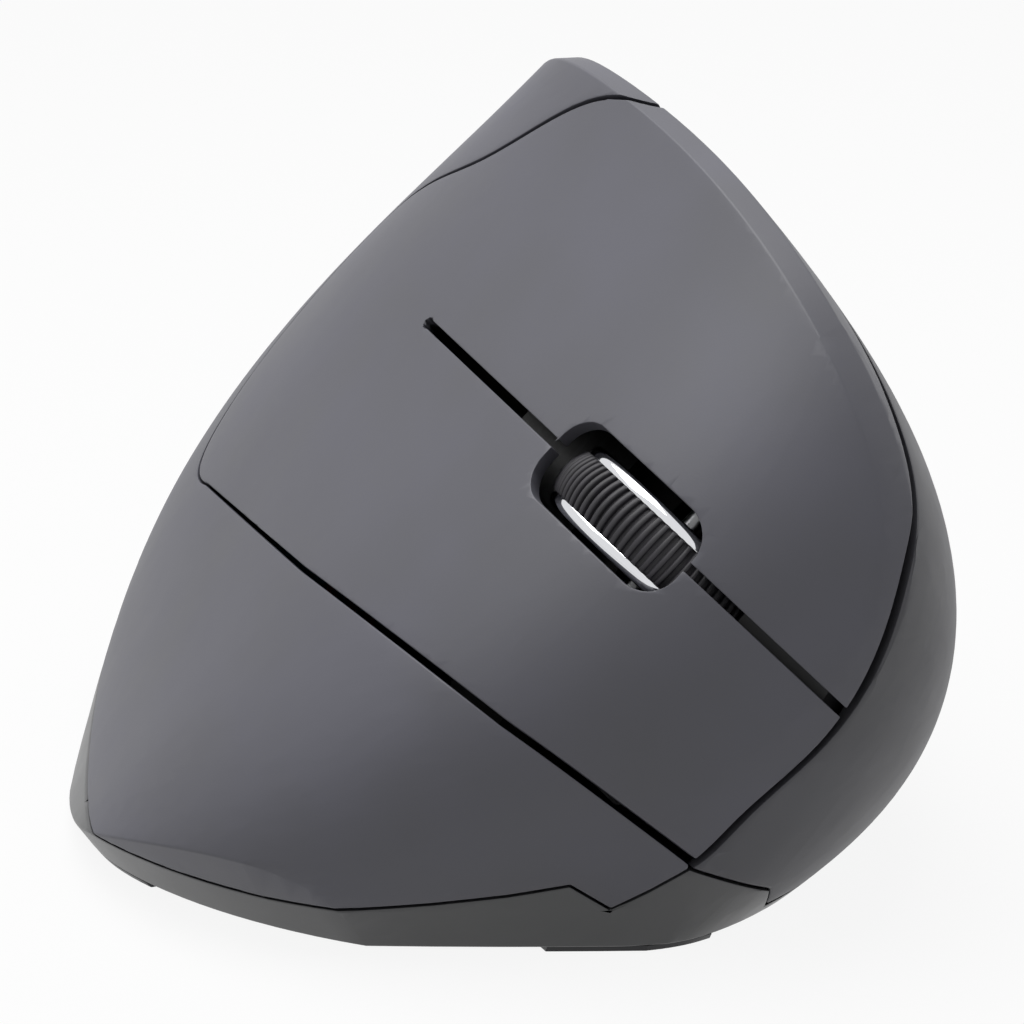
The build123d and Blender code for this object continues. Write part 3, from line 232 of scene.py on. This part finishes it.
spring_wire, shader, place = new_finish("drawn_spring_steel", "#a9aaac", roughness=0.3, Metallic=1.0)
uneven_gloss(spring_wire, shader, place, size_mm=1.2, low=0.22, high=0.4)
grained(spring_wire, shader, place, grain_mm=0.3, depth_mm=0.004)

nickel, shader, place = new_finish("stamped_nickel_plate", "#bdbcb6", roughness=0.22, Metallic=1.0)
tinted(nickel, shader, place, size_mm=4, dark="#b6b5ae", light="#c3c2bd")
uneven_gloss(nickel, shader, place, size_mm=1.5, low=0.16, high=0.3)

# %% [markdown]
# ## Rubber and dark plastics
# The tread is moulded rubber: nearly black, dull, with a dusty look on the crests of its ribs. The
# parts behind the slits are plain black or near-black mouldings, and their dark colour is partly painted
# shade, so that the gaps read as dark lines.

# %% Rubber, inner mouldings and pads
tread_rubber, shader, place = new_finish("moulded_tread_rubber", "#1c1b20", roughness=0.6, IOR=1.5)
tinted(tread_rubber, shader, place, size_mm=1.4, dark="#1a191d", light="#211f25")
grained(tread_rubber, shader, place, grain_mm=0.12, depth_mm=0.006)

# near-black moulding, partly painted shade for the insides of the gaps
inner_black, shader, place = new_finish("black_inner_moulding", "#17171a", roughness=0.5, IOR=1.53)
tinted(inner_black, shader, place, size_mm=6, dark="#141417", light="#1b1b1e")
grained(inner_black, shader, place, grain_mm=0.3, depth_mm=0.008)

switch_case, shader, place = new_finish("glossy_switch_case", "#26262a", roughness=0.3, IOR=1.55)
uneven_gloss(switch_case, shader, place, size_mm=2, low=0.24, high=0.38)

plunger_plastic, shader, place = new_finish("pale_slippery_acetal", "#dcd8cb", roughness=0.4, IOR=1.48,
                                            Subsurface_Weight=0.15, Subsurface_Scale=0.6 * MM)
uneven_gloss(plunger_plastic, shader, place, size_mm=1, low=0.34, high=0.46)

glide_pad, shader, place = new_finish("slick_glide_pad", "#2b2b2e", roughness=0.34, IOR=1.36)
tinted(glide_pad, shader, place, size_mm=5, dark="#28282b", light="#303033")
uneven_gloss(glide_pad, shader, place, size_mm=3, low=0.26, high=0.42)

receiver_plastic, shader, place = new_finish("matte_receiver_cap", "#202022", roughness=0.48, IOR=1.53)
uneven_gloss(receiver_plastic, shader, place, size_mm=2, low=0.4, high=0.54)
grained(receiver_plastic, shader, place, grain_mm=0.25, depth_mm=0.006)

jacket, shader, place = new_finish("extruded_wire_jacket", "#7d2420", roughness=0.4, IOR=1.52)
uneven_gloss(jacket, shader, place, size_mm=3, low=0.32, high=0.46)

# %% [markdown]
# ## Circuit boards, chips, cell and lens
# A circuit board is woven glass and resin under a black solder mask. Its copper tracks lie under the
# mask and show as a lighter tone, which a brick pattern of thin lines stands in for. A chip is black
# epoxy, dull and slightly speckled. The cell is a steel can in a printed sleeve, here left plain.
# The lens over the sensor is clear moulded polycarbonate.

# %% Boards, chips, cell and lens
TRACK_SPACING = 6 * MM
TRACK_SHARE = 0.035
board_black, shader, place = new_finish("solder_masked_board", "#141517", roughness=0.32, IOR=1.5)
tracks = add_node(board_black, "TexBrick", Vector=place, Scale=1 / TRACK_SPACING,
                  Color1=linear("#141517"), Color2=linear("#16171a"), Mortar=linear("#212327"),
                  Mortar_Size=TRACK_SHARE)
feed(board_black, shader, Base_Color=tracks.outputs["Color"])
grained(board_black, shader, place, grain_mm=0.4, depth_mm=0.004)

chip_epoxy, shader, place = new_finish("black_chip_epoxy", "#17181a", roughness=0.55, IOR=1.55)
tinted(chip_epoxy, shader, place, size_mm=0.5, dark="#141517", light="#1c1d20")
grained(chip_epoxy, shader, place, grain_mm=0.15, depth_mm=0.006)

cell_sleeve, shader, place = new_finish("plain_cell_sleeve", "#2f6f8f", roughness=0.28, IOR=1.5)
tinted(cell_sleeve, shader, place, size_mm=12, dark="#2b6887", light="#357797")
uneven_gloss(cell_sleeve, shader, place, size_mm=5, low=0.22, high=0.34)

clear_lens, shader, place = new_finish("clear_polycarbonate", "#f2f4f5", roughness=0.06, IOR=1.585,
                                       Transmission_Weight=0.92)
uneven_gloss(clear_lens, shader, place, size_mm=2, low=0.04, high=0.1)

# %% [markdown]
# ## Give every CAD part its finish
# Each CAD part already names a material slot, such as shell or board. One table turns those names
# into the finishes above, and a loop assigns them, so no part keeps a flat colour.

# %% Assign the finishes
FINISHES = {
    "shell_grey": soft_touch,
    # painted shade: the thumb side's lacquer is coloured darker than the palm's
    "thumb_grey": thumb_lacquer_painted_shade,
    "base_grey": satin_base,
    "button_grey": key_abs,
    "rim_chrome": chrome,
    "tread_rubber": tread_rubber,
    "inner_plastic": inner_black,
    "switch_plastic": switch_case,
    "plunger_plastic": plunger_plastic,
    "board_black": board_black,
    "chip_black": chip_epoxy,
    "spring_steel": spring_wire,
    "lens_clear": clear_lens,
    "foot_slick": glide_pad,
    "wire_jacket": jacket,
    "cell_can": cell_sleeve,
    "receiver_black": receiver_plastic,
    "plug_steel": nickel,
}
slot_of_node = {}
for node_name, node in nodes.items():
    slot_of_node[node_name] = node.material_slots[0].material.name
    node.material_slots[0].material = FINISHES[slot_of_node[node_name]]
print(len(nodes), "CAD parts have", len(set(slot_of_node.values())), "finishes")

# %% [markdown]
# ## Rounded edges on the moulded shells
# A moulded shell never has a knife edge: the tool leaves a radius of about a quarter of a millimetre
# where it meets a seam, and that radius catches a thin line of light. The CAD solids have sharp
# edges. Their surfaces are already right, so each shell starts as a copy of its CAD mesh. The copy's
# loose triangles are merged, and those that lie in one plane become one face, because a bevel between
# slivers would leave marks. Its sharp edges are picked by their angle, and a bevel rounds them. A
# weighted-normal modifier then keeps the broad faces smooth up to the bevel.

# %% Copy a part, pick its sharp edges and round them
MERGE_DISTANCE = 0.001 * MM
FLAT_ANGLE = math.radians(0.15)
SHARP_ANGLE = math.radians(40)
SHELL_EDGE = 0.22 * MM
BROAD_EDGE = 0.35 * MM
FINE_EDGE = 0.15 * MM
PAD_EDGE = 0.12 * MM
EDGE_STEPS = 2
FACING = 0.9


def only(piece):
    """Select one piece alone and make it the active one."""
    bpy.ops.object.select_all(action="DESELECT")
    piece.select_set(True)
    bpy.context.view_layer.objects.active = piece


def edit(piece, select="FACE"):
    """Open a piece for editing with nothing selected."""
    only(piece)
    bpy.ops.object.mode_set(mode="EDIT")
    bpy.ops.mesh.select_mode(type=select)
    bpy.ops.mesh.select_all(action="DESELECT")


def pick(piece, kind, wanted):
    """Select the faces or edges that the wanted test says yes to, in an open piece."""
    mesh = bmesh.from_edit_mesh(piece.data)
    for part in getattr(mesh, kind):
        if wanted(part):
            part.select_set(True)
    mesh.select_flush_mode()
    bmesh.update_edit_mesh(piece.data)


def close_edit():
    """Close the open piece."""
    bpy.ops.object.mode_set(mode="OBJECT")


def bridge_open_edges(piece):
    """Span the open edges of a piece that is open for editing, turn its faces outward and close it."""
    bpy.ops.mesh.select_mode(type="EDGE")
    bpy.ops.mesh.select_all(action="DESELECT")
    pick(piece, "edges", lambda edge: edge.is_boundary)
    bpy.ops.mesh.bridge_edge_loops()
    bpy.ops.mesh.select_all(action="SELECT")
    bpy.ops.mesh.normals_make_consistent(inside=False)
    close_edit()


def join(piece, *others):
    """Join the other objects to a piece."""
    only(piece)
    for other in others:
        other.select_set(True)
    bpy.ops.object.join()


def fix_transform():
    """Move the place, turn and size of the selected object into its mesh."""
    bpy.ops.object.transform_apply(location=True, rotation=True, scale=True)


def copied(node_name, piece_name):
    """Copy the mesh of a CAD part as a new piece, its triangles merged and its flat faces made whole."""
    piece = new_object(piece_name, nodes[node_name].data.copy())
    only(piece)
    bpy.ops.mesh.customdata_custom_splitnormals_clear()
    edit(piece, "VERT")
    bpy.ops.mesh.select_all(action="SELECT")
    bpy.ops.mesh.remove_doubles(threshold=MERGE_DISTANCE)
    bpy.ops.mesh.dissolve_limited(angle_limit=FLAT_ANGLE)
    close_edit()
    return piece


def round_edges(piece, radius, left_sharp=lambda middle: False):
    """Bevel the sharp edges of a piece, apart from those whose middle is to be left sharp."""
    edit(piece, "EDGE")
    bpy.ops.mesh.edges_select_sharp(sharpness=SHARP_ANGLE)
    mesh = bmesh.from_edit_mesh(piece.data)
    for edge in [edge for edge in mesh.edges if edge.select]:
        if left_sharp((edge.verts[0].co + edge.verts[1].co) / 2):
            edge.select_set(False)
    bmesh.update_edit_mesh(piece.data)
    bpy.ops.mesh.bevel(offset=radius, segments=EDGE_STEPS, affect="EDGES")
    close_edit()
    smooth(piece)


def smooth(piece):
    """Shade a piece smooth between its sharp edges, led by its broad faces."""
    only(piece)
    bpy.ops.object.shade_smooth_by_angle(angle=SHARP_ANGLE)
    leading = piece.modifiers.new("leading_faces", "WEIGHTED_NORMAL")
    leading.keep_sharp = True
    bpy.ops.object.modifier_apply(modifier=leading.name)


def stands_for(piece, body, *node_names):
    """Let a finished piece ride on its body in the place of CAD parts, with their finish."""
    slot = slot_of_node[node_names[0]]
    piece.data.materials.clear()
    piece.data.materials.append(FINISHES[slot])
    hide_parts(*node_names)
    if body:
        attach(piece, body)
    print(piece.name, "has", len(piece.data.polygons), "faces")


# %% [markdown]
# ## The shells and the small keys
# The palm shell, the thumb shell and the base are the still parts of the casing. The two thumb keys,
# the battery door, the power slider, the pairing key, the receiver's cap and the rear and side glide
# pads move or show on their own. All get the same treatment, each with the radius that suits its size.

# %% Round the still and moving mouldings
ROUNDED = {
    "palm_shell": ("palm_shell_moulding", "casing", SHELL_EDGE),
    "thumb_shell": ("thumb_shell_moulding", "casing", BROAD_EDGE),
    "bottom_shell": ("base_moulding", "casing", SHELL_EDGE),
    "forward_button": ("forward_thumb_key", "forward_key", BROAD_EDGE),
    "back_button": ("back_thumb_key", "back_key", BROAD_EDGE),
    "battery_door": ("battery_door_moulding", "battery_cover", FINE_EDGE),
    "power_switch": ("power_slider_knob", "power_slider", FINE_EDGE),
    "pair_button": ("pairing_key_cap", "pairing_key", FINE_EDGE),
    "receiver_cap": ("receiver_cap_moulding", "receiver", FINE_EDGE),
    "rear_foot": ("rear_glide_pad", "casing", PAD_EDGE),
    "side_feet": ("side_glide_pads", "casing", PAD_EDGE),
}
for node_name, (piece_name, body, radius) in ROUNDED.items():
    moulding = copied(node_name, piece_name)
    round_edges(moulding, radius)
    stands_for(moulding, body, node_name)

# %% [markdown]
# ## The two keys and their cover
# On the real mouse the two keys and the cover behind them are one moulding, and each key is a tongue
# that flexes. The CAD model cuts them apart with a thin gap, because rigid solids cannot flex. Here
# each key is joined to its half of the cover: the two end faces at the gap are deleted and the open
# edges bridged. Near that joint, and along the cut between the halves, the tongue takes over the
# smooth normals of the CAD parts, so that light runs across without a break.

# %% Join each key to its half of the cover
FLEX_HALF_GAP = 0.15 * MM
AT_THE_GAP = 0.02 * MM
SLIT_ABOVE_WHEEL = 0.8 * MM
FLEX_LENGTH = 12.0 * MM
HOLE_REACH = 0.9 * MM
slit_point = wheel_middle + SLIT_ABOVE_WHEEL * up_face


def along_keys(point):
    """How far a point lies in front of the flex line."""
    return (point - flex_point).dot(forward)


def from_cut(point):
    """How far a point lies from the cut between the two halves of the cover."""
    return abs((point - slit_point).dot(up_face))


def is_gap_face(face):
    """Whether a face is one of the two that look at each other across the flex gap."""
    distances = [abs(abs(along_keys(corner.co)) - FLEX_HALF_GAP) for corner in face.verts]
    return max(distances) < AT_THE_GAP and abs(face.normal.dot(forward)) > FACING


def left_sharp_on_keys(middle):
    """The joint at the flex gap and the cut between the halves stay flush, so neither is rounded."""
    ahead = along_keys(middle)
    on_cut = from_cut(middle) < FLEX_HALF_GAP
    return abs(ahead) < 2 * FLEX_HALF_GAP or (on_cut and ahead < 0)


def take_normals(piece, *node_names):
    """Near the flex line and the cut, but not at the slit's end hole, take the CAD parts' normals."""
    near = piece.vertex_groups.new(name="near_the_joints")
    for corner in piece.data.vertices:
        ahead = along_keys(corner.co)
        away = abs(ahead) if ahead > 0 else min(abs(ahead), from_cut(corner.co))
        closeness = (FLEX_LENGTH / 2 - away) / (FLEX_LENGTH / 4)
        if from_cut(corner.co) < HOLE_REACH and 0 < ahead < 2 * HOLE_REACH:
            closeness = 0.0
        near.add([corner.index], min(max(closeness, 0.0), 1.0), "REPLACE")
    sources = [new_object(name + "_normals", nodes[name].data.copy()) for name in node_names]
    join(*sources)
    source = sources[0]
    edit(source)
    pick(source, "faces", is_gap_face)
    bpy.ops.mesh.delete(type="FACE")
    close_edit()
    only(piece)
    taken = piece.modifiers.new("taken_normals", "DATA_TRANSFER")
    taken.object = source
    taken.use_loop_data = True
    taken.data_types_loops = {"CUSTOM_NORMAL"}
    taken.loop_mapping = "POLYINTERP_NEAREST"
    taken.vertex_group = near.name
    bpy.ops.object.modifier_apply(modifier=taken.name)
    bpy.data.objects.remove(source)
    piece.vertex_groups.clear()


def flexing_key(side, piece_name, keep_above):
    """One key with its half of the cover, as a single tongue."""
    half = copied("button_cover", "cover_half")
    edit(half)
    bpy.ops.mesh.select_all(action="SELECT")
    bpy.ops.mesh.bisect(plane_co=slit_point, plane_no=up_face, use_fill=True,
                        clear_inner=keep_above, clear_outer=not keep_above)
    close_edit()
    tongue = copied(side + "_button", piece_name)
    join(tongue, half)
    edit(tongue)
    pick(tongue, "faces", is_gap_face)
    bpy.ops.mesh.delete(type="FACE")
    bridge_open_edges(tongue)
    round_edges(tongue, FINE_EDGE, left_sharp_on_keys)
    take_normals(tongue, side + "_button", "button_cover")
    return tongue


# The left tongue speaks for the whole cover, because a CAD part is replaced once
for side, keep_above in (("left", True), ("right", False)):
    tongue = flexing_key(side, side + "_key_tongue", keep_above)
    replaced = [side + "_button", "button_cover"] if side == "left" else [side + "_button"]
    stands_for(tongue, None, *replaced)
    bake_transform(tongue)

# %% [markdown]
# ## The chrome rims of the wheel
# Each rim is a narrow ring with a broad rounded shoulder on its outer side. It could be turned from a
# profile with spin. Here it starts as a cylinder, its two ends are inset and bridged into a ring,
# and a bevel of several segments rounds the shoulder, which needs fewer steps. The wheel is made
# lying flat round the world's centre, and then set on its axle.

# %% Rings for the wheel
WHEEL_RADIUS = 12.3 * MM
TREAD_WIDTH = 4.6 * MM
TREAD_INNER = 9.8 * MM
RIM_WIDTH = 1.2 * MM
RIM_RADIUS = 11.55 * MM
RIM_INNER = 9.0 * MM
RIM_SHOULDER = 0.9 * MM
RIM_INNER_EDGE = 0.12 * MM
RIM_BORE_EDGE = 0.3 * MM
SHOULDER_STEPS = 8
BORE_STEPS = 3
RING_STEPS = 156
ON_CIRCLE = 0.02 * MM
to_axle = Matrix.Translation(wheel_middle) @ up_face.to_track_quat("Z", "Y").to_matrix().to_4x4()


def is_end_face(face):
    """Whether a face is one of the two flat ends of a lying cylinder or ring."""
    return abs(face.normal.z) > FACING


def flat_ring(name, outer, inner, width, height):
    """A ring round the world's Z axis: a cylinder whose ends are inset and bridged."""
    bpy.ops.mesh.primitive_cylinder_add(vertices=RING_STEPS, radius=outer, depth=width,
                                        location=(0.0, 0.0, height))
    ring = bpy.context.object
    ring.name = name
    fix_transform()
    edit(ring)
    pick(ring, "faces", is_end_face)
    bpy.ops.mesh.inset(thickness=outer - inner, depth=0.0)
    bpy.ops.mesh.delete(type="FACE")
    bridge_open_edges(ring)
    return ring


def bevel_circle(ring, radius, height, width, steps):
    """Round the circle of edges that lies at one radius and height of a flat ring."""

    def on_circle(edge):
        ends = [corner.co for corner in edge.verts]
        level = all(abs(end.z - height) < ON_CIRCLE for end in ends)
        return level and all(abs(end.xy.length - radius) < ON_CIRCLE for end in ends)

    edit(ring, "EDGE")
    pick(ring, "edges", on_circle)
    bpy.ops.mesh.bevel(offset=width, segments=steps, affect="EDGES")
    close_edit()


def set_on_axle(piece):
    """Move a piece made round the world's Z axis to the wheel's own axis."""
    only(piece)
    piece.matrix_world = to_axle
    fix_transform()


for side, direction in (("left", 1), ("right", -1)):
    rim_height = direction * (TREAD_WIDTH + RIM_WIDTH) / 2
    outer_height = rim_height + direction * RIM_WIDTH / 2
    inner_height = rim_height - direction * RIM_WIDTH / 2
    rim = flat_ring(side + "_chrome_rim", RIM_RADIUS, RIM_INNER, RIM_WIDTH, rim_height)
    bevel_circle(rim, RIM_RADIUS, outer_height, RIM_SHOULDER, SHOULDER_STEPS)
    bevel_circle(rim, RIM_RADIUS, inner_height, RIM_INNER_EDGE, EDGE_STEPS)
    bevel_circle(rim, RIM_INNER, outer_height, RIM_BORE_EDGE, BORE_STEPS)
    smooth(rim)
    set_on_axle(rim)
    stands_for(rim, "wheel", side + "_rim")

# %% [markdown]
# ## The ribbed tread
# The tread is a rubber band with a fine rounded rib about every millimetre, so that a finger grips
# it. One rib is modelled from a block with rounded top edges. An array modifier turns copies of it
# about the axle, all the way round, and they are joined to the band. The band is crowned: it is
# highest in its middle, so every corner is drawn in towards the axle with the square of its distance
# from the middle, and each rib becomes an arc.

# %% Model one rib and array it round the band
RIB_COUNT = 78
RIB_HEIGHT = 0.5 * MM
RIB_WIDTH = 0.56 * MM
RIB_SINK = 0.3 * MM
RIB_EDGE = 0.2 * MM
RIB_EDGE_STEPS = 3
CROWN = 0.6 * MM
CROWN_CUTS = 7
rib_middle = WHEEL_RADIUS - (RIB_HEIGHT + RIB_SINK) / 2


def is_across(edge):
    """Whether an edge runs from one side of the tread to the other."""
    start, end = edge.verts
    return abs(start.co.z - end.co.z) > TREAD_WIDTH / 2


def is_on_crest(edge):
    """Whether an edge lies on the outer face of the block that becomes a rib."""
    return min(corner.co.x for corner in edge.verts) > rib_middle


def cut_across(piece):
    """Divide the edges that run across the tread, so that it can be crowned."""
    edit(piece, "EDGE")
    pick(piece, "edges", is_across)
    bpy.ops.mesh.subdivide(number_cuts=CROWN_CUTS)
    close_edit()


band = flat_ring("ribbed_tread", WHEEL_RADIUS - RIB_HEIGHT, TREAD_INNER, TREAD_WIDTH, 0.0)
cut_across(band)
bpy.ops.mesh.primitive_cube_add(size=1.0, location=(rib_middle, 0.0, 0.0))
rib = bpy.context.object
rib.scale = (RIB_HEIGHT + RIB_SINK, RIB_WIDTH, TREAD_WIDTH)
fix_transform()
edit(rib, "EDGE")
pick(rib, "edges", is_on_crest)
bpy.ops.mesh.bevel(offset=RIB_EDGE, segments=RIB_EDGE_STEPS, affect="EDGES")
close_edit()
cut_across(rib)

turn = new_object("rib_turn")
turn.rotation_euler = (0.0, 0.0, 2 * math.pi / RIB_COUNT)
around = rib.modifiers.new("around", "ARRAY")
around.count = RIB_COUNT
around.use_relative_offset = False
around.use_object_offset = True
around.offset_object = turn
bpy.context.view_layer.update()
only(rib)
bpy.ops.object.modifier_apply(modifier=around.name)
bpy.data.objects.remove(turn)
join(band, rib)
for corner in band.data.vertices:
    reach = corner.co.xy.length
    if reach > (WHEEL_RADIUS + TREAD_INNER) / 2:
        drop = CROWN * (2 * corner.co.z / TREAD_WIDTH) ** 2
        corner.co.xy *= 1 - drop / reach
smooth(band)
set_on_axle(band)
stands_for(band, "wheel", "wheel_tread")

# %% [markdown]
# ## Table and light
# The photograph shows the mouse on pure white under soft, mostly overhead light. A pale floor keeps
# the mouse's shadow, and part of what the camera sees of it is plain white light of its own, so that
# it fades into the white background. Underneath, the floor is see-through, so that the underside can
# be looked at. One large lamp overhead and the world give the soft light.

# %% Floor, world and lamp
FLOOR_SIZE = 8.0
FLOOR_CUTS = 3
WHITE_SHARE = 0.9
ROOM_LIGHT = 0.35
LAMP_POWER = 2.3
LAMP_WIDTH = 0.4
LAMP_PLACE = Vector((-0.04, 0.04, 0.4))
LAMP_AIM = Vector((0.0, 0.0, 0.03))


def seen_plainly(material):
    """One where the camera looks, also by a reflection or through a clear part, and otherwise zero."""
    seen = add_node(material, "LightPath").outputs
    direct = add_node(material, "Math", {"operation": "MAXIMUM"}, _0=seen["Is Camera Ray"],
                      _1=seen["Is Glossy Ray"])
    plain = add_node(material, "Math", {"operation": "MAXIMUM"}, _0=direct.outputs["Value"],
                     _1=seen["Is Transmission Ray"])
    return plain.outputs["Value"]


bpy.ops.mesh.primitive_plane_add(size=FLOOR_SIZE, location=(0.0, 0.0, 0.0))
floor = bpy.context.object
floor.name = "studio_floor"
edit(floor)
bpy.ops.mesh.select_all(action="SELECT")
bpy.ops.mesh.subdivide(number_cuts=FLOOR_CUTS)
close_edit()

pale_floor, shader = new_finish("pale_floor", "#c4c4c4", roughness=0.8)[:2]
share = add_node(pale_floor, "Math", {"operation": "MULTIPLY"}, _0=seen_plainly(pale_floor),
                 _1=WHITE_SHARE)
white = add_node(pale_floor, "Emission", Color=linear("#ffffff"), Strength=1.0)
lit = add_node(pale_floor, "MixShader", _0=share.outputs["Value"], _1=shader.outputs["BSDF"],
               _2=white.outputs["Emission"])
below = add_node(pale_floor, "NewGeometry").outputs["Backfacing"]
clear = add_node(pale_floor, "BsdfTransparent")
above_only = add_node(pale_floor, "MixShader", _0=below, _1=lit.outputs["Shader"],
                      _2=clear.outputs["BSDF"])
surface = pale_floor.node_tree.nodes["Material Output"].inputs["Surface"]
pale_floor.node_tree.links.new(above_only.outputs["Shader"], surface)
floor.data.materials.append(pale_floor)

world = bpy.data.worlds.new("white_room")
bpy.context.scene.world = world
world.use_nodes = True
room = world.node_tree.nodes["Background"]
strength = add_node(world, "MapRange", Value=seen_plainly(world), To_Min=ROOM_LIGHT, To_Max=1.0)
room.inputs["Color"].default_value = linear("#ffffff")
world.node_tree.links.new(strength.outputs["Result"], room.inputs["Strength"])

lamp = bpy.data.lights.new("overhead_softbox", "AREA")
lamp.energy = LAMP_POWER
lamp.shape = "SQUARE"
lamp.size = LAMP_WIDTH
aim(new_object("overhead_softbox", lamp), LAMP_PLACE, LAMP_AIM)

# %% [markdown]
# ## The camera
# The photograph was taken from the front left, a little above the mouse, with a long lens, so that
# its edges hardly converge. The camera stands about half a metre away, and the lens is as long as
# makes the mouse fill the frame.

# %% Place the camera
CAMERA_AIM = Vector((-0.0018, -0.0147, 0.0330))
CAMERA_PLACE = Vector((-0.2082, -0.4577, 0.2108))
SENSOR_MM = 36.0
LENS_MM = 193.8
camera_data = bpy.data.cameras.new("photo_camera")
camera_data.sensor_width = SENSOR_MM
camera_data.lens = LENS_MM
camera = new_object("photo_camera", camera_data)
aim(camera, CAMERA_PLACE, CAMERA_AIM)
bpy.context.scene.camera = camera
bpy.context.scene.view_settings.view_transform = "Standard"
